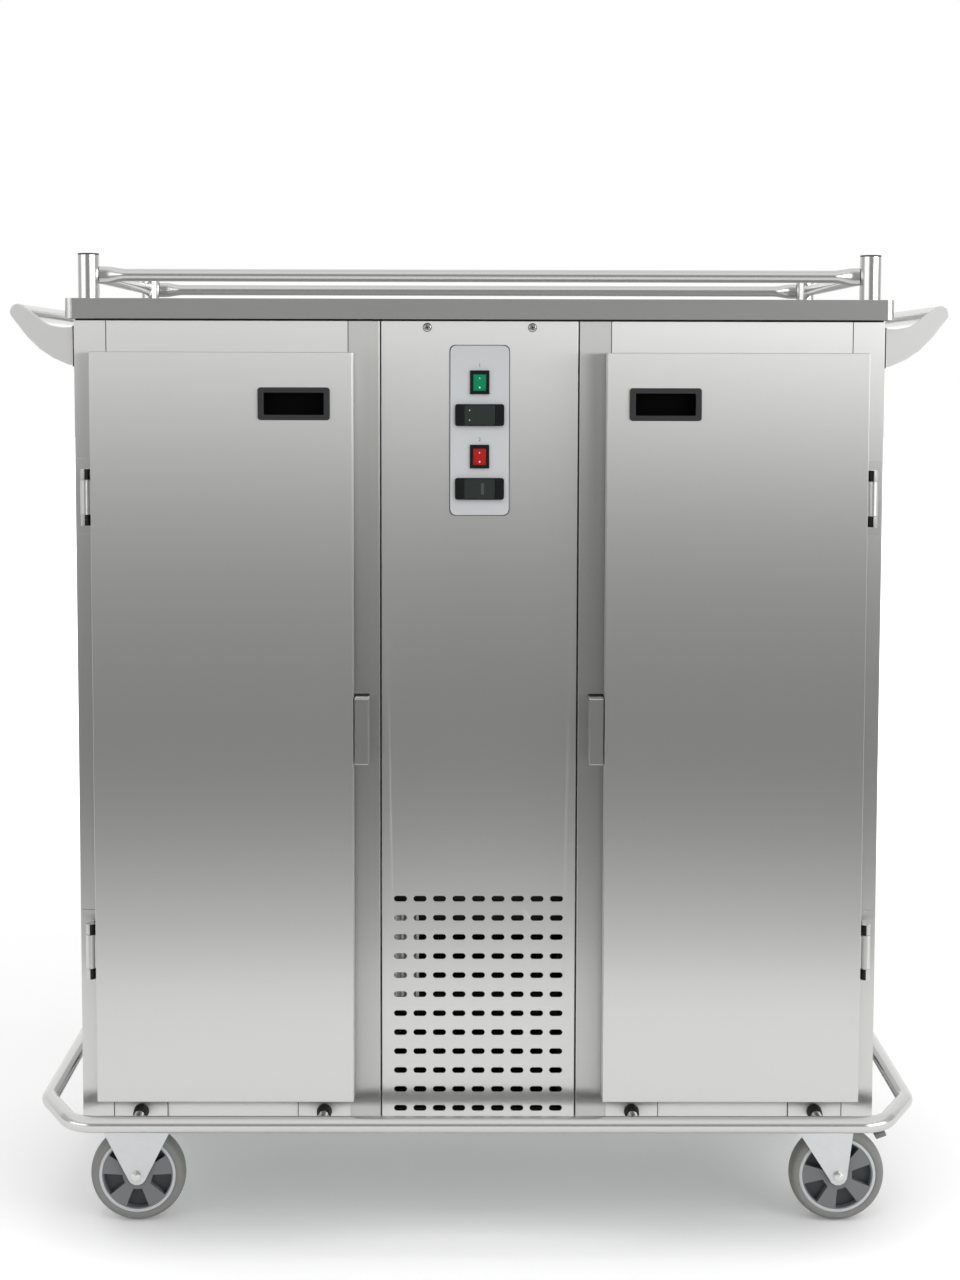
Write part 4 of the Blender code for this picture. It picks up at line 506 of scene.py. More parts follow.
def from_solid(node, material, body=CART, name=None):
    """A piece that takes its shape from a solid, with the solid's triangles merged to whole faces."""
    bm = bmesh.new()
    bm.from_mesh(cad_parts[node].data)
    bmesh.ops.remove_doubles(bm, verts=bm.verts, dist=0.005 * MM)
    bmesh.ops.dissolve_limit(bm, angle_limit=math.radians(0.5), verts=bm.verts, edges=bm.edges)
    mesh = bpy.data.meshes.new(name or f"{node}_finish")
    bm.to_mesh(mesh)
    bm.free()
    return as_object(mesh, mesh.name, material, body, [node], crease=32)


def printed(text, height, place, name):
    """A number printed on a face that looks toward -Y."""
    font = bpy.data.curves.new(name, "FONT")
    font.body = text
    font.size = height
    font.align_x = "CENTER"
    font.extrude = 0.05
    holder = placed(name, font)
    mesh = evaluated(holder)
    bpy.data.objects.remove(holder)
    bm = bmesh.new()
    bm.from_mesh(mesh)
    turned(bm, bm.verts, place, 90, "X")
    piece(bm, name, black_print)


def screws(name, places, normal, radius):
    """Pan-head screws with dark crosses for their recesses, painted shade, each in a dark ring that paints
    its shadow on the sheet.
    """
    heads, slots = fresh(2)
    normal, height = Vector(normal), 1.8
    turn = normal.to_track_quat("Z", "Y").to_matrix()
    half_length, half_width = radius * 0.66, radius * 0.12
    for place in map(Vector, places):
        verts = rod(heads, place, place + normal * height, radius, 24)
        beyond = [v for v in verts if (v.co - place).dot(normal) > height / 2]
        rounded(heads, edges_of(beyond), height * 0.55)
        # Dark crosses set into the heads: painted shade for the recesses.
        for degrees in (20, 110):
            bar = block(slots, around(0, half_length), around(0, half_width), (-0.3, 0.12))
            spun = turn @ Matrix.Rotation(math.radians(degrees), 3, "Z")
            bmesh.ops.rotate(slots, cent=(0, 0, 0), matrix=spun, verts=bar)
            bmesh.ops.translate(slots, vec=place + normal * height, verts=bar)
        # A dark ring round the head: painted shadow.
        rod(slots, place, place + normal * 0.4, radius + 0.9, 28)
    piece(heads, f"{name}_screws", nickel)
    piece(slots, f"{name}_screw_shade_marks", dark_joint_and_shade)


# Cabinet


def casing(side, word):
    """The cabinet's skin, with the joints of its front frame cut in it, and its inner stile."""

    def at_column(*ends):
        """Whether an edge is the upright corner beside the machine column."""
        corner = (COLUMN_HALF, CABINET_FRONT)
        return all(math.dist((abs(at.x), at.y), corner) < NEAR for at in ends)

    skin = from_solid(f"{word}_casing", stainless_upright)
    softened(skin, at_column, 1.3)
    cutters, filler = fresh(2)
    outer_joint, inner_joint, past, beside = 597, 210.5, 5, 20
    runs = [
        (outer_joint, OPENING_TOP, CABINET_TOP + past),
        (outer_joint, CABINET_BOTTOM - past, OPENING_BOTTOM),
        (inner_joint, OPENING_TOP - beside, CABINET_TOP + past),
        (inner_joint, CABINET_BOTTOM - past, OPENING_BOTTOM + beside),
    ]
    for x, low, high in runs:
        block(cutters, around(side * x, 0.7), from_front(-5, 1.1), (low, high))
        z = (max(low, CABINET_BOTTOM + 0.5), min(high, CABINET_TOP - 0.5))
        block(filler, around(side * x, 0.9), from_front(0.72, 1.15), z)
    eased(carved(skin, cutters), 0.35)
    piece(filler, f"{word}_frame_joints", dark_joint_and_shade)
    # A thin overlay on the stile in the deeper steel: painted shade beside the doors.
    stile = bmesh.new()
    x = on_side(side, COLUMN_HALF + 1.3, inner_joint - 0.8)
    block(stile, x, from_front(-0.2, 0.3), (CABINET_BOTTOM + 0.4, CABINET_TOP - 0.4))
    piece(stile, f"{word}_inner_stile", stile_shade_steel)


def vent_cutters(bm, y):
    """The front panel's vents: round-ended slots in a grid."""
    columns, rows, lowest = 9, 12, 224
    across, up, length, height = 31.8, 31.75, 21.4, 9.5
    for column in range(columns):
        for row in range(rows):
            x = around((column - (columns - 1) / 2) * across, length / 2)
            plate(bm, x, y, around(lowest + row * up, height / 2), 1, height * 0.499, 5)


def column_panel():
    """The service panels of the machine column, the front one with its vents and cut-outs."""
    bm = bmesh.new()
    x, z = around(0, PANEL_HALF), (CABINET_BOTTOM + 0.3, CABINET_TOP - 0.3)
    verts = block(bm, x, from_front(0, PANEL_FLANGE), z)
    fronts = [e for e in edges_of(verts, 2) if e.verts[0].co.y < CABINET_FRONT + NEAR]
    rounded(bm, fronts, 1.1, 3)
    panel = piece(bm, "front_panel_sheet", stainless_upright, replaces=["front_panel"])
    hollow = bmesh.new()
    inside = around(0, PANEL_HALF - PANEL_SHEET)
    block(hollow, inside, from_front(PANEL_SHEET, PANEL_FLANGE + 5), (z[0] - 5, z[1] + 5))
    carved(panel, hollow)
    cutters = bmesh.new()
    through = from_front(-4, 4)
    vent_cutters(cutters, through)
    for _, height in SWITCH_HEIGHTS:
        block(cutters, around(0, 14.85), through, around(height, 18.35))
    for _, height in CONTROLLER_HEIGHTS:
        block(cutters, around(0, 35.6), through, around(height, 15.1))
    eased(carved(panel, cutters), 0.3)
    places = [(x, CABINET_FRONT, 1500.5) for x in (-84, 84)]
    screws("front_panel", places, (0, -1, 0), 6.2)
    eased(from_solid("rear_panel", stainless_upright), 0.3)
    places = [(x, CABINET_BACK, z) for x in (-145, 145) for z in (240, 660, 1080, 1490)]
    screws("rear_panel", places, (0, 1, 0), 5)
    behind_vents()


def behind_vents():
    """What shows through the vents: a black sheet above the fin block, painted shade inside the column,
    and a wiring duct.
    """
    baffle = bmesh.new()
    block(baffle, (-158, 158), (-301, -300), (504, 640))
    block(baffle, (-158, 158), (-301, -277), (640, 641))
    eased(piece(baffle, "vent_shade_sheet", black_lacquer_and_shade), 0.3)
    duct = bmesh.new()
    block(duct, (-140, -99), (-336, -330), (392, 546))
    for number in range(4):
        x = -138.5 + number * 12
        plate(duct, (x, x + 5), (-341, -335), (390, 548), 2, 1.2)
    piece(duct, "wiring_duct", duct_pvc)


def gallery():
    """Posts with caps, and rails whose ends are pressed flat."""
    post_x, post_y, cap = 624.8, 340, 2.6
    foot, top, rail_z = DECK_TOP + 0.3, DECK_TOP + 71.7, DECK_TOP + 37.4
    for side, word in SIDES:
        bm, caps = fresh(2)
        for y in (-post_y, post_y):
            place = (side * post_x, y)
            rod(bm, (*place, foot), (*place, top - cap), 17, 48)
            rod(caps, (*place, top - cap), (*place, top), 16.8, 48)
            rounded(caps, [e for e in caps.edges if min(v.co.z for v in e.verts) > top - NEAR], 0.8, 2)
        rail(bm, (side * post_x, -324, rail_z), (side * post_x, 324, rail_z))
        piece(bm, f"{word}_gallery_tube", stainless_tube, replaces=[f"{word}_gallery_frame"], crease=50)
        piece(caps, f"{word}_gallery_caps", post_cap)
    for end, word in ENDS:
        bm = bmesh.new()
        rail(bm, (-607.5, end * post_y, rail_z), (607.5, end * post_y, rail_z))
        piece(bm, f"{word}_gallery_tube", stainless_tube, replaces=[f"{word}_gallery_rail"], crease=50)


def rail(bm, start, end):
    """A round tube with both ends pressed to upright tongues."""
    start, end = Vector(start), Vector(end)
    along = (end - start).normalized()
    length = (end - start).length
    half, wide, tall = 10, 4.2, 13.6
    tongue, taper, steps = 8, 36, 16
    shape = [(0, wide, tall)]
    for i in range(steps + 1):
        share = (1 - math.cos(math.pi * i / steps)) / 2
        place = tongue + taper * i / steps
        shape.append((place, wide + (half - wide) * share, tall + (half - tall) * share))
    shape += [(length - place, *sizes) for place, *sizes in reversed(shape)]
    sweep(bm, [section(start + along * place, along, *sizes) for place, *sizes in shape], 36)


def push_handle(side, word):
    """Two horn-shaped arms with a grip tube between their tips, on flanges with gaskets."""
    reach, root, bottom, rise = 89.7, CABINET_HALF + 0.3, 1439.3, 84.5
    tip = (root + reach, bottom + rise)
    shares = [(0.686, 0.941), (0.563, 0.828), (0.440, 0.754), (0.218, 0.709), (0.040, 0.709)]
    shares += [(0.040, 0.000), (0.100, 0.000), (0.383, 0.131), (0.623, 0.301), (0.851, 0.544)]
    outline = arc(tip, 12.9, -42, 132, 18) + [(root + x * reach, bottom + z * rise) for x, z in shares]
    arms, flanges, joint, grip = fresh(4)
    for low in (-344, 336):
        extruded(arms, [(side * x, low, z) for x, z in outline], (0, 8, 0))
    obj = eased(piece(arms, f"{word}_handle_arms", blasted_aluminium, crease=24), 1.6, 3, 50)
    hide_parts(f"{word}_push_handle")
    for low in (-346, 312):
        plate(flanges, on_side(side, root + 1.9, root + 4), (low, low + 34), (1437.3, 1501.2), 0, 3)
        x = on_side(side, CABINET_HALF, root + 1.9)
        block(joint, x, (low - 0.6, low + 34.6), (1436.8, 1501.8))
    eased(piece(flanges, f"{word}_handle_flanges", blasted_aluminium), 0.8)
    piece(joint, f"{word}_handle_gaskets", dark_joint_and_shade)
    rod(grip, (side * tip[0], -338, tip[1]), (side * tip[0], 338, tip[1]), 12.5, 48)
    piece(grip, f"{word}_handle_grip", stainless_tube)


def bumper():
    """The bumper's tube, and its stubs with their pads, collars and seams."""
    x, y, z = 714, 416, 219.4
    tube = bmesh.new()
    corners = []
    for sx, sy in ((1, 1), (-1, 1), (-1, -1), (1, -1)):
        pair = [(sx * x, sy * (y - 122), z), (sx * (x - 61), sy * y, z)]
        corners += pair[:: sx * sy]
    sweep(tube, bent_frames(corners, 55, 13.5, 8, closed=True), 36, closed=True)
    piece(tube, "bumper_tube", stainless_tube, replaces=["bumper_ring"], crease=40)
    pads, stubs, collars, seams = fresh(4)
    feet = [((px, sy * 350.3, z), (0, sy, 0)) for px in (-552, -252, 252, 552) for sy in (-1, 1)]
    feet += [((sx * 648.3, 0, z), (sx, 0, 0)) for sx in (-1, 1)]
    for foot, way in feet:
        foot, way = Vector(foot), Vector(way)
        turn = Matrix((UP.cross(way), way, UP)).transposed().to_4x4()
        made = block(pads, (-43, 43), (0, 2), (-10, 20))
        bmesh.ops.transform(pads, matrix=Matrix.Translation(foot) @ turn, verts=made)
        rod(stubs, foot + way, foot + way * 64, 9.5, 28)
        # Dark rubber collars on the stubs, black enough to also paint the shade under the doors.
        rod(collars, foot + way * 2, foot + way * 26, 12.5, 32, 11)
    for px in (-509, -295, 295, 509):
        block(seams, around(px, 0.5), from_front(-2.6, -0.1), (209.6, 239.2))
    eased(piece(pads, "bumper_pads", stainless_upright), 0.5)
    piece(stubs, "bumper_stubs", stainless_tube)
    eased(piece(collars, "bumper_stub_collars", dark_joint_and_shade), 1.5, 3)
    piece(seams, "bumper_pad_seams", dark_joint_and_shade)


def deck_corners():
    """The worktop's rounded upright corners, finer than the solid's."""
    arcs = bmesh.new()
    for x in (-647.5, 647.5):
        for y in (-358, 358):
            middle = math.degrees(math.atan2(y / abs(y), x / abs(x)))
            outline = arc((x, y), 12.12, middle - 45, middle + 45, 10)
            outline += arc((x, y), 10.8, middle + 45, middle - 45, 10)
            extruded(arcs, [(*at, DECK_BOTTOM) for at in outline], (0, 0, DECK_TOP - DECK_BOTTOM))
    eased(piece(arcs, "deck_corner_skins", stainless_plain), 0.6, 3)


# Doors


def door_liner(word):
    """The inner face of the door: a steel sheet with a shallow pressed field."""
    core = from_solid(f"{word}_door_core", stainless_plain, f"{word}_door", f"{word}_door_liner")
    bm = bmesh.new()
    bm.from_mesh(core.data)
    back = [max((f for f in bm.faces if f.normal.y > 0.9), key=lambda f: f.calc_area())]
    bmesh.ops.inset_individual(bm, faces=back, thickness=38 * MM, use_even_offset=True)
    bmesh.ops.inset_individual(bm, faces=back, thickness=5 * MM, depth=-4 * MM, use_even_offset=True)
    bm.to_mesh(core.data)
    bm.free()
    eased(core, 1.2, 3, 25)


def door_pull(side, word):
    """A pull let into the door: a frame with a soft lip, and a black pocket behind it."""
    x, z, body = side * 294, 1379, f"{word}_door"
    rim, opening, pocket = fresh(3)
    plate(rim, around(x, 57), (DOOR_FRONT - 2.8, DOOR_FRONT - 0.3), around(z, 26), 1, 5, 5)
    pull = piece(rim, f"{word}_pull_frame", black_polyamide, body, [f"{word}_door_pull"])
    plate(opening, around(x, 47.5), (DOOR_FRONT - 6, DOOR_FRONT + 3), around(z, 17.5), 1, 2)
    eased(carved(pull, opening), 1.1, 3)
    block(pocket, around(x, 49.7), (DOOR_FRONT - 0.2, DOOR_FRONT + 25.5), around(z, 19.7))
    front = [min(pocket.faces, key=lambda f: f.calc_center_median().y)]
    bmesh.ops.inset_individual(pocket, faces=front, thickness=3, use_even_offset=True)
    bmesh.ops.inset_individual(pocket, faces=front, thickness=0.5, depth=-23.5, use_even_offset=True)
    eased(piece(pocket, f"{word}_pull_pocket", pocket_shade_black, body), 0.4)


def hinge_trim(side, word, place, height):
    """Black half shells on the door side of the outer knuckles, and the door's own leaf round the middle
    one.
    """
    x, y = side * HINGE_X, HINGE_Y
    shells, leaf = fresh(2)
    for low in (height - 45.1, height + 28.2):
        outline = arc((x, y), 8.3, 90, 90 + side * 180, 12)
        extruded(shells, [(*at, low) for at in outline], (0, 0, 16.9))
    eased(piece(shells, f"{word}_{place}_hinge_shells", gloss_black), 0.4)
    turned_profile(leaf, both_halves([(7.2, -27.7), (7.9, -27.7)]), (x, y, height), UP, 40)
    block(leaf, on_side(side, 617.1, 620.6), around(y, 3.6), around(height, 26.7))
    eased(piece(leaf, f"{word}_{place}_door_leaf", stainless_plain, f"{word}_door"), 0.3)


def doors():
    """Both doors with their liners, seals, pulls and hinges."""
    for side, word in SIDES:
        body = f"{word}_door"
        eased(from_solid(f"{word}_door_pan", stainless_upright, body), 0.6, 3, 40)
        door_liner(word)
        eased(from_solid(f"{word}_door_gasket", seal_rubber, body), 2.2, 3)
        door_pull(side, word)
        for place, height in HINGE_HEIGHTS:
            eased(from_solid(f"{word}_{place}_hinge", stainless_upright), 0.5)
            hinge_trim(side, word, place, height)


def catch_cover(side, word):
    """A drawn cover with round edges, a dark strip above it that paints its shadow, and the slot that the
    catch goes through.
    """
    x, z = on_side(side, 177.0, 199.9), (800.4, 908.4)
    cover, dark = fresh(2)
    block(cover, x, from_front(-38.3, -0.3), z)
    # The cover is in the stiles' deeper steel: painted shade.
    cover = piece(
        cover, f"{word}_catch_cover_finish", stile_shade_steel, replaces=[f"{word}_catch_cover"]
    )
    eased(cover, 1.8, 4)
    block(dark, on_side(side, 199.5, 200.0), from_front(-27, -11), around(854.4, 28))
    # A dark strip along the cover's top: painted shadow.
    block(dark, (x[0] - 0.4, x[1] + 0.2), from_front(-2, -0.2), (z[1] - 3, z[1] + 2.2))
    piece(dark, f"{word}_catch_window", dark_joint_and_shade)


# Controls


def control_plate():
    """The pale plate with its dark rim and a number over each switch."""
    eased(from_solid("control_plate", anodised_plate), 0.35)
    border = bmesh.new()
    plate(border, around(0, 48.2), from_front(-0.9, -0.3), (1199.3, 1473.0), 1, 9, 6)
    piece(border, "control_plate_border", black_print)
    printed("1", 8.5, (0, PLATE_FRONT, 1437.5), "upper_number")
    printed("2", 8.5, (0, PLATE_FRONT, 1319.0), "lower_number")


def rocker(place, height, material):
    """A rocker cap with its bezel and a printed bar and ring."""
    body = f"{place}_rocker"
    eased(from_solid(f"{place}_switch_housing", gloss_black), 0.5, 3)
    eased(from_solid(body, material, body), 0.6, 3)
    marks = bmesh.new()
    block(marks, (-0.4, 0.4), (-5.6, -5.2), (6.0, 8.6))
    rod(marks, (0, -5.25, -7.6), (0, -5.65, -7.6), 1.2)
    turned(marks, marks.verts, (0, CABINET_FRONT + 0.6, height), 9, "X")
    piece(marks, f"{place}_rocker_marks", white_print, body)


def controller(place, height):
    """A panel controller: a moulded frame around a smoked window, with keys beside it."""
    eased(from_solid(f"{place}_controller", gloss_black), 0.8, 3)
    window, keys, signs = fresh(3)
    y = (BEZEL_FRONT - 0.55, BEZEL_FRONT + 0.85)
    plate(window, around(0, 24.2), y, around(height, 15.4), 1, 2.6, 4)
    eased(piece(window, f"{place}_display_window", smoked_window), 0.3)
    y = (BEZEL_FRONT - 0.7, BEZEL_FRONT - 0.1)
    for x in (-33, 33):
        for z in (-7.5, 0, 7.5):
            plate(keys, around(x, 3.4), y, around(height + z, 2.6), 1, 1.2)
    piece(keys, f"{place}_controller_keys", gloss_black)
    if place == "upper":
        for z in (height - 8.2, height + 7.6):
            rod(signs, (-16.1, BEZEL_FRONT - 0.7, z), (-16.1, BEZEL_FRONT - 0.4, z), 0.9, 20)
        piece(signs, "upper_display_lamps", green_lamp)
    else:
        y = (BEZEL_FRONT - 0.65, BEZEL_FRONT - 0.45)
        plate(signs, (2.4, 7.4), y, around(height, 9), 1, 0.6, 2)
        piece(signs, "lower_display_bar", dark_abs)


# Inside the compartments


def serpentine(bm, x, z, y, rows, tube):
    """A tube that runs to and fro across a coil, bent round at each end."""
    pitch = (z[1] - z[0]) / (rows - 1)
    corners = []
    for row in range(rows):
        height = z[0] + row * pitch
        corners += [(end, height, 0) for end in (x if row % 2 == 0 else x[::-1])]
    before = set(bm.verts)
    sweep(bm, bent_frames(corners, pitch * 0.49, tube, 5), 16)
    turned(bm, [v for v in bm.verts if v not in before], (0, y, 0), 90, "X")


def coil(word, node, x, y, z, fins, sheet, pipe):
    """A finned coil: thin fins between end plates, with its tube bent round outside them."""
    rows, lip = 10, 16
    sheets, ends, tubes = fresh(3)
    inner = (x[0] + lip, x[1] - lip)
    for i in range(fins):
        at = inner[0] + (i + 0.5) * (inner[1] - inner[0]) / fins
        block(sheets, around(at, 0.25), (y[0] + 1, y[1] - 1), (z[0] + 1, z[1] - 1))
    piece(sheets, f"{word}_fins", sheet, replaces=[node])
    for at in inner:
        block(ends, around(at, 0.8), y, z)
    piece(ends, f"{word}_end_plates", sheet)
    for depth in (0.28, 0.72):
        middle = y[0] + (y[1] - y[0]) * depth
        serpentine(tubes, (x[0] + 1, x[1] - 1), (z[0] + 18, z[1] - 18), middle, rows, 4.5)
    piece(tubes, f"{word}_tubes", pipe)


def compartment(side, word):
    """The steel liner with its coved corners, the racks and the cooling coil."""

    def coved(*ends):
        """Whether an edge is a corner of the space inside that meets its back wall."""
        half, low, high = OPENING_HALF + 0.5, OPENING_BOTTOM - 0.5, OPENING_TOP + 0.5
        inside = all(abs(abs(at.x) - OPENING_X) < half and low < at.z < high for at in ends)
        return inside and OPENING_BACK - 10 < max(at.y for at in ends) < OPENING_BACK + 5

    softened(from_solid(f"{word}_insulation", stainless_plain, name=f"{word}_liner"), coved, 3, 4)
    eased(from_solid(f"{word}_runner_rack", stainless_plain), 0.4)
    name, x = f"{word}_evaporator", on_side(side, 257, 557)
    coil(name, name, x, (244.7, 289.7), (1015.5, 1375.5), 50, fin_aluminium, copper_tube)


def cabinet():
    """Everything that is fixed to the cart, apart from the machine and the casters."""
    for side, word in SIDES:
        casing(side, word)
        compartment(side, word)
        push_handle(side, word)
        catch_cover(side, word)
    column_panel()
    gallery()
    bumper()
    eased(from_solid("top_deck", stainless_lying), 0.9, 3)
    deck_corners()
    # A dark strip just under the worktop's front edge: painted shadow of the worktop.
    seal = bmesh.new()
    block(seal, (-645, 645), from_front(-1, 0.1), (1510.2, 1513.2))
    piece(seal, "deck_shadow_strip", dark_joint_and_shade)


# Machine compartment


def condenser():
    """The fin block at the front vents, its shroud, its motor and its fan."""
    shroud = from_solid("condenser", black_lacquer_and_shade, name="condenser_shroud")
    cutter = bmesh.new()
    block(cutter, (-136, 136), (-325, -277.5), (214, 506))
    eased(carved(shroud, cutter), 0.4)
    place = ((-136, 136), (-319.5, -277.8), (214.5, 505.5))
    coil("condenser", "condenser", *place, 56, black_lacquer_and_shade, black_lacquer_and_shade)
    fan()


def fan():
    """A hub with five twisted and swept blades."""
    centre, blades, root, reach = Vector((0, -258, 360)), 5, 27, 87
    bm = bmesh.new()
    profile = [(4.3, -12), (26, -12), (29, -9), (30, -4), (30, 12), (4.3, 12), (4.3, -12)]
    turned_profile(bm, profile, centre, (0, 1, 0), 64)
    for number in range(blades):
        grid = bmesh.ops.create_grid(bm, x_segments=8, y_segments=10, size=0.5)["verts"]
        for vert in grid:
            out = vert.co.y + 0.5
            chord = 50 + 16 * out
            pitch = math.radians(36 - 16 * out)
            swept = 10 * out * out
            along = vert.co.x * chord + swept
            bow = 4.0 * (1 - (2 * vert.co.x) ** 2)
            vert.co = (along * math.cos(pitch), along * math.sin(pitch) - bow, root + reach * out)
        wall = list({f for v in grid for f in v.link_faces})
        solid = bmesh.ops.solidify(bm, geom=wall, thickness=1.8)["geom"]
        verts = {g for g in solid if isinstance(g, bmesh.types.BMVert)} | set(grid)
        turned(bm, list(verts), centre, 360 * number / blades, "Y")
    piece(bm, "condenser_fan_finish", dark_abs, "condenser_fan", ["condenser_fan"])


def machine():
    """The compressor on its feet, its tubes, the electric box and the base frame."""
    shell, base, feet, tubes = fresh(4)
    profile = [(0, 190), (24, 189), (44, 185), (59, 177), (68, 167), (74, 154), (78, 138), (80, 118)]
    profile += [(80, 101), (83.5, 100), (83.5, 92), (80, 91), (80, 70), (78, 46), (72, 24), (60, 10)]
    profile += [(44, 2), (0, 0)]
    turned_profile(shell, profile, (0, 170, 226), UP, 64)
    block(shell, (-26, 26), (84, 92), (285, 345))
    piece(shell, "compressor_shell", black_enamel, replaces=["compressor"])
    plate(base, (-100, 100), (70, 270), (224, 228), 2, 14, 4)
    eased(piece(base, "compressor_base_plate", zinc_plate), 0.5)
    profile = [(0, 14), (9, 14), (9, 10), (7, 8), (7, 6), (9, 4), (9, 0), (0, 0)]
    for x in (-86, 86):
        for y in (84, 256):
            turned_profile(feet, profile, (x, y, CABINET_BOTTOM), UP, 32)
    piece(feet, "compressor_mounts", seal_rubber)
    route = [(120, -279, 0), (146, -279, 0), (146, 120, 0), (60, 120, 0), (60, 160, 0)]
    sweep(tubes, bent_frames(route, 20, 4, 6), 16)
    bmesh.ops.translate(tubes, vec=(0, 0, 470), verts=tubes.verts)
    rod(tubes, (60, 160, 474), (60, 160, 330), 4, 16)
    rod(tubes, (-40, 200, 520), (-40, 200, 360), 5, 16)
    piece(tubes, "refrigerant_tubes", copper_tube)
    eased(from_solid("electric_box", dark_abs), 1.2, 3)
    eased(from_solid("base_frame", zinc_plate), 0.5)


# Casters


def pocket_cutters(x, y, first):
    """Five pockets in each face of a wheel centre, the first of them at an angle in degrees."""
    cutters = bmesh.new()
    outer, inner, depth, steps = (57.5, 19.5), (25, 17), 20, 8
    for number in range(5):
        middle = first + 72 * number
        for face in (-1, 1):
            outline = []
            for (radius, spread), way in ((outer, 1), (inner, -1)):
                angles = (middle - way * spread, middle + way * spread)
                outline += arc((x, AXLE_HEIGHT), radius, *angles, steps)
            low = y + face * 3
            moved = extruded(cutters, [(px, low, pz) for px, pz in outline], (0, face * depth, 0))
            uprights = [e for v in moved for e in v.link_edges if e.other_vert(v) not in moved]
            rounded(cutters, [uprights[i] for i in (0, steps, steps + 1, 2 * steps + 1)], 1.5, 3)
    return cutters


def wheel(word, x, y, first_pocket):
    """Tread and wheel centre, with a dark web behind its pockets that paints their shade, and a thin pale
    ring that paints a highlight on its moulded edge.
    """
    body, place, axis = f"{word}_wheel", (x, y, AXLE_HEIGHT), (0, -1, 0)
    tread, centre, web, ring = fresh(4)
    half = [(64.8, 17.6), (66, 18.6), (68, 19), (71.5, 19), (74.2, 18.2), (76.2, 16.2), (77.8, 13.2)]
    half += [(78.9, 9.5), (79.7, 5), (80, 0)]
    turned_profile(tread, both_halves(half), place, axis, 96)
    piece(tread, f"{word}_tread", grey_tread, body, [f"{word}_tyre"], crease=40)
    half = [(5.4, 20.5), (11, 20.5), (16.5, 19.9), (18, 18.6), (18.4, 16.4), (60, 16.4), (64.5, 16.2)]
    turned_profile(centre, both_halves(half), place, axis, 96)
    hub = piece(centre, f"{word}_wheel_centre", grey_polyamide, body, [f"{word}_hub"])
    eased(carved(hub, pocket_cutters(x, y, first_pocket)), 0.7, 3)
    # A dark web just proud of the pockets' floors: painted shade in the pockets.
    turned_profile(web, both_halves([(22, -3.4), (59, -3.4)]), place, axis, 64)
    piece(web, f"{word}_wheel_pocket_shade_web", dark_abs, body)
    # The ring is drawn pale: painted highlight.
    half = [(59.2, 15), (59.6, 17.2), (60.4, 17.8), (63.6, 17.8), (64.6, 17.2)]
    turned_profile(ring, both_halves(half), place, axis, 96)
    piece(ring, f"{word}_wheel_highlight_ring", ring_highlight_polyamide, body)


def axle_ends(word, x, y, body):
    """Bolt head and nut of an axle, with washers."""
    bm = bmesh.new()
    for face in (-1, 1):
        seat, washer, nut, end = [(x, y + face * reach, AXLE_HEIGHT) for reach in (24.6, 25.8, 31, 32)]
        rod(bm, seat, washer, 9.6, 32)
        verts = rod(bm, washer, nut, 8.2, 6)
        rounded(bm, edges_of([v for v in verts if abs(v.co.y - y) > 30]), 0.8, 2)
        rod(bm, nut, end, 4, 24)
    piece(bm, f"{word}_axle_ends", nickel, body)


def plate_screws(word, x, y):
    """Four hexagon bolts under the caster's plate."""
    heads = bmesh.new()
    for dx in (-43, 43):
        for dy in (-33, 33):
            verts = rod(heads, (x + dx, y + dy, 186.4), (x + dx, y + dy, 182.6), 6.2, 6)
            rounded(heads, edges_of([v for v in verts if v.co.z < 184]), 0.6, 2)
    piece(heads, f"{word}_plate_bolts", nickel)


def brake_pedal(name, y):
    """A bent steel arm on its pin, with its shoe above the tread and a ribbed pad at its end."""
    body, x, z = f"{name}_pedal", 628, 170
    arm, bore, pad = fresh(3)
    outline = [(625, 175.2), (646, 169.2), (663, 154.6), (676, 153.2)]
    outline += [(676, 148.6), (661, 149.8), (644.6, 164.2), (625, 169.6)]
    extruded(arm, [(px, y - 17, pz) for px, pz in outline], (0, 34, 0))
    rod(arm, (x, y - 17, z), (x, y + 17, z), 5.5, 32)
    turned(arm, block(arm, (14, 26), (-12.75, 12.75), (-7, 0)), (x, y, z), 16, "Y")
    rod(bore, (x, y - 20, z), (x, y + 20, z), 2.9, 32)
    eased(carved(piece(arm, f"{name}_pedal_arm", zinc_plate, body, [f"{name}_brake_pedal"]), bore), 0.6)
    verts = block(pad, (-9.3, 9.3), (-21, 21), (-4, 4))
    rounded(pad, edges_of(verts), 2, 3)
    for number in range(4):
        verts = block(pad, around(-5.4 + number * 3.6, 0.8), (-18, 18), (3, 4.9))
        rounded(pad, [e for e in edges_of(verts, 1) if e.verts[0].co.z > 4], 0.5, 2)
    turned(pad, pad.verts, (678.5, y, 149.5), -20, "Y")
    piece(pad, f"{name}_pedal_pad", grey_polyamide, body)


def casters():
    """Two fixed casters on the left, two braked swivel casters on the right."""
    for end, word in ENDS:
        y, name = end * AXLE_Y, f"left_{word}"
        eased(from_solid(f"{name}_fork", zinc_plate), 0.9, 3)
        axle_ends(name, FIXED_AXLE_X, y, CART)
        plate_screws(name, FIXED_AXLE_X, y)
        wheel(name, FIXED_AXLE_X, y, 270)
        name, swivel = f"right_{word}", f"right_{word}_swivel"
        eased(from_solid(f"{name}_swivel_head", zinc_plate), 0.6)
        eased(from_solid(f"{name}_fork", zinc_plate, swivel), 0.9, 3)
        axle_ends(name, SWIVEL_AXLE_X, y, swivel)
        plate_screws(name, SWIVEL_X, y)
        wheel(name, SWIVEL_AXLE_X, y, 287)
        brake_pedal(name, y)


cabinet()
doors()
control_plate()
for (place, height), material in zip(SWITCH_HEIGHTS, (red_abs, green_abs)):
    rocker(place, height, material)
for place, height in CONTROLLER_HEIGHTS:
    controller(place, height)
condenser()
machine()
casters()


# Studio

WHITE = linear("#FFFFFF")


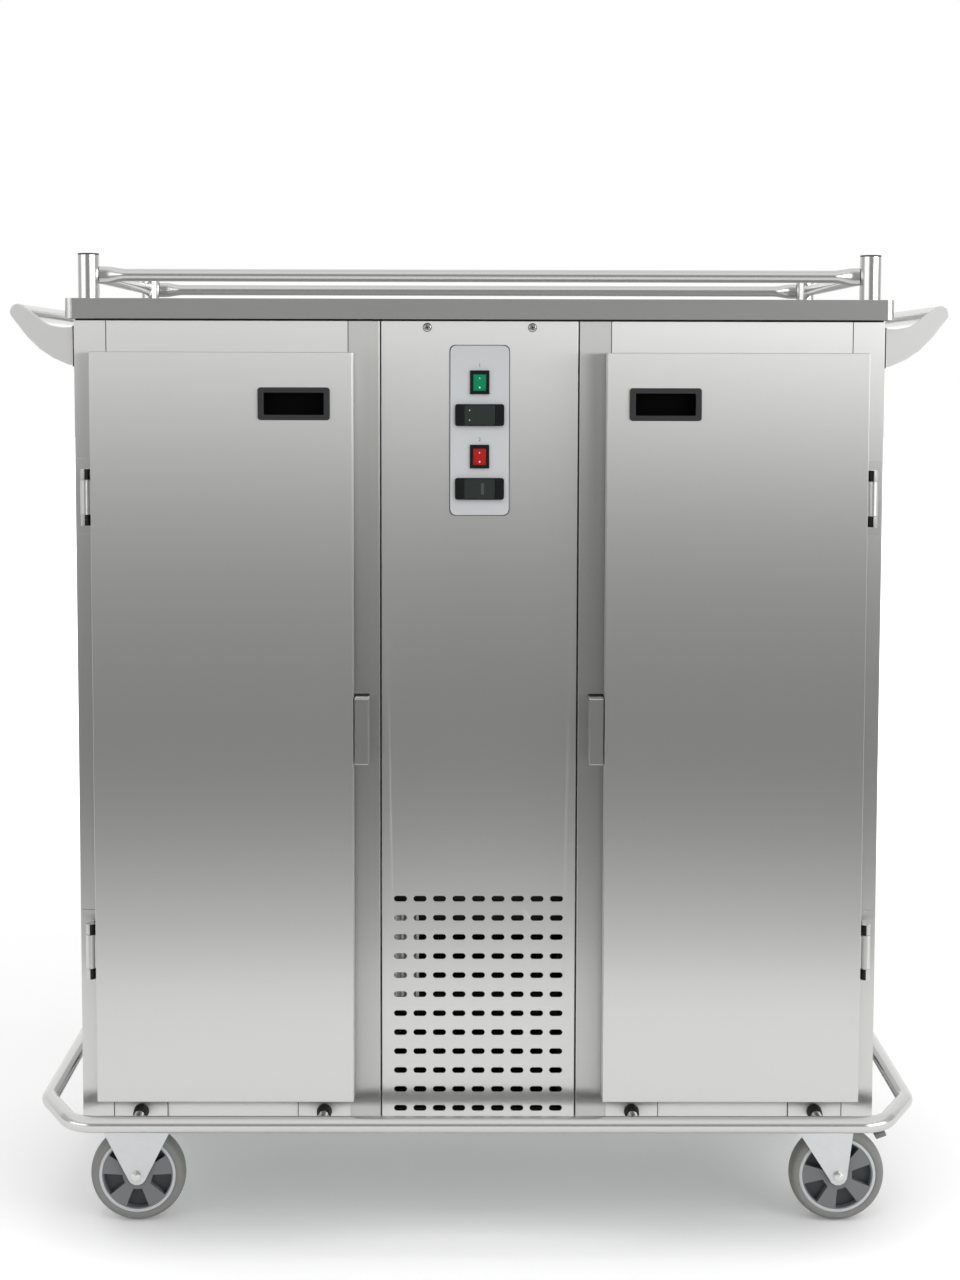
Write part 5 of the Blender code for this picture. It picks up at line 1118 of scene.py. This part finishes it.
def backdrop():
    """The white floor, which fades into the backdrop far from the cart, so that no edge shows."""
    fade_start, fade_end, mirror_share, base_glow = 1.9, 4.2, 0.15, 0.1
    white = finish("studio_floor", None, "#F0F0F0", 0.8)
    tree = white.node_tree
    shader = tree.nodes["Principled BSDF"]
    seen = add_node(tree, "ShaderNodeLightPath").outputs
    camera_ray = seen["Is Camera Ray"]
    place = add_node(tree, "ShaderNodeTexCoord").outputs["Object"]
    reach = add_node(tree, "ShaderNodeVectorMath", {0: place}, operation="LENGTH").outputs["Value"]
    limits = {"Value": reach, "From Min": fade_start, "From Max": fade_end}
    fade = add_node(tree, "ShaderNodeMapRange", limits, interpolation_type="SMOOTHSTEP").outputs[0]
    glow = seen["Is Glossy Ray"]
    for operation, other in (("MULTIPLY", mirror_share), ("ADD", camera_ray), ("MULTIPLY", fade)):
        glow = add_node(tree, "ShaderNodeMath", {0: glow, 1: other}, operation=operation).outputs[0]
    base = add_node(tree, "ShaderNodeMath", {0: camera_ray, 1: base_glow}, operation="MULTIPLY")
    glow = add_node(tree, "ShaderNodeMath", {0: glow, 1: base.outputs[0]}).outputs[0]
    tree.links.new(glow, shader.inputs["Emission Strength"])
    shader.inputs["Emission Color"].default_value = WHITE
    bm = bmesh.new()
    place = Matrix.Translation((0, 18.95, -0.0005)) @ Matrix.Diagonal((40, 42.1, 1, 1))
    bmesh.ops.create_grid(bm, x_segments=1, y_segments=1, size=0.5, matrix=place)
    mesh = bpy.data.meshes.new("studio_floor")
    bm.to_mesh(mesh)
    bm.free()
    mesh.materials.append(white)
    floor = placed("studio_floor", mesh)


def surroundings():
    """What the steel mirrors, drawn by the direction that a ray leaves in."""
    world = bpy.data.worlds.new("studio")
    bpy.context.scene.world = world
    world.use_nodes = True
    tree = world.node_tree
    way = add_node(tree, "ShaderNodeTexCoord").outputs["Generated"]
    parts = add_node(tree, "ShaderNodeSeparateXYZ", {"Vector": way}).outputs

    # Straight ahead of the doors, by height: floor, a dim hall and its ceiling
    hall_shades = [(-0.28, "#F3F3F2"), (-0.253, "#DEDEDD"), (-0.226, "#AEAEAC"), (-0.212, "#919190")]
    hall_shades += [(-0.199, "#7A7A78"), (-0.185, "#6F6F6D"), (-0.165, "#898987"), (-0.14, "#999997")]
    hall_shades += [(-0.1, "#9F9F9E"), (0.0, "#A6A6A5"), (0.22, "#A3A3A2"), (0.34, "#AEAEAD")]
    hall_shades += [(0.45, "#DCDCDB"), (0.55, "#FFFFFF"), (0.9, "#FFFFFF"), (1.0, "#F0F0EF")]
    lowest, highest = hall_shades[0][0], hall_shades[-1][0]
    limits = {"Value": parts["Z"], "From Min": lowest, "From Max": highest}
    slope = add_node(tree, "ShaderNodeMapRange", limits).outputs[0]
    hall = add_node(tree, "ShaderNodeValToRGB", {"Fac": slope})
    ramp = hall.color_ramp
    for at, shade in hall_shades[1:-1]:
        ramp.elements.new((at - lowest) / (highest - lowest)).color = linear(shade)
    ramp.elements[0].color = linear(hall_shades[0][1])
    ramp.elements[-1].color = linear(hall_shades[-1][1])

    # Two lit walls, left and right of the photographer, from eye height up; the right one is brighter.
    # Ground steel spreads their light over the doors' tops, and the posts show them as light stripes.
    # Each share is a soft step along one axis, from none at its first value to all at its second.
    share = {}
    steps = [("over_eyes", "Z", -0.09, 0.07), ("height", "Z", 0.4, 0.15), ("left", "X", -0.34, -0.5)]
    steps += [("right", "X", 0.34, 0.5), ("beside", "Y", -0.35, -0.15)]
    steps += [("not_overhead", "Z", 0.7, 0.4), ("behind", "Y", 0.45, 0.75)]
    for name, axis, none, full in steps:
        limits = {"Value": parts[axis], "From Min": none, "From Max": full}
        step = add_node(tree, "ShaderNodeMapRange", limits, interpolation_type="SMOOTHSTEP")
        share[name] = step.outputs[0]
    left_glow, right_glow = 1.75, 5.0
    products = [("height", "over_eyes"), ("left", "height"), ("right", "height")]
    products += [("left", left_glow), ("right", right_glow), ("beside", "not_overhead")]
    for name, other in products:
        inputs = {0: share[name], 1: share.get(other, other)}
        share[name] = add_node(tree, "ShaderNodeMath", inputs, operation="MULTIPLY").outputs[0]

    # Beside the cart it is dimmer, behind it all is white, and the camera sees white everywhere.
    direct = add_node(tree, "ShaderNodeLightPath").outputs["Is Camera Ray"]
    colour = hall.outputs["Color"]
    for factor, layer, blend in (
        (1.0, share["left"], "ADD"),
        (1.0, share["right"], "ADD"),
        (share["beside"], linear("#CFCFCE"), "MIX"),
        (share["behind"], WHITE, "MIX"),
        (direct, WHITE, "MIX"),
    ):
        inputs = {0: factor, 6: colour, 7: layer}
        layered = add_node(tree, "ShaderNodeMix", inputs, data_type="RGBA", blend_type=blend)
        colour = layered.outputs[2]
    background = tree.nodes["Background"]
    tree.links.new(colour, background.inputs["Color"])
    background.inputs["Strength"].default_value = 1.0


def lamps():
    """Two softboxes that the steel doesn't mirror."""
    aim = Vector((0, 0, 0.9))
    for name, place, size, power in (
        ("right_softbox", (2.6, -2.4, 2.6), (1.6, 2.2), 20),
        ("top_softbox", (0, -1.2, 3.4), (3.2, 2.4), 42),
    ):
        light = bpy.data.lights.new(name, "AREA")
        light.shape = "RECTANGLE"
        light.size, light.size_y = size
        light.energy = power
        lamp = placed(name, light)
        lamp.location = place
        lamp.visible_glossy = False
        lamp.rotation_euler = (aim - Vector(place)).to_track_quat("-Z", "Y").to_euler()


def camera():
    """The photographer's camera: in front, at the height of the controls, nearly level."""
    sensor, image_height, focal_length, principal_row = 36, 1280, 2167.04, 538.95
    view = bpy.data.cameras.new("photo_view")
    view.sensor_fit = "VERTICAL"
    view.sensor_width = view.sensor_height = sensor
    view.lens = focal_length / image_height * sensor
    view.shift_y = (principal_row - image_height / 2) / image_height
    holder = placed("photo_view", view)
    yaw, pitch, roll = 0.0055, 0.0792, 0.0024
    turn = Matrix.Rotation(-yaw, 3, "Z") @ Matrix.Rotation(math.pi / 2 - pitch, 3, "X")
    turn = turn @ Matrix.Rotation(roll, 3, "Z")
    holder.rotation_euler = turn.to_euler()
    holder.location = (-0.0181, -3.8261, 1.4377)
    bpy.context.scene.camera = holder
    bpy.context.scene.view_settings.view_transform = "Standard"


backdrop()
surroundings()
lamps()
camera()
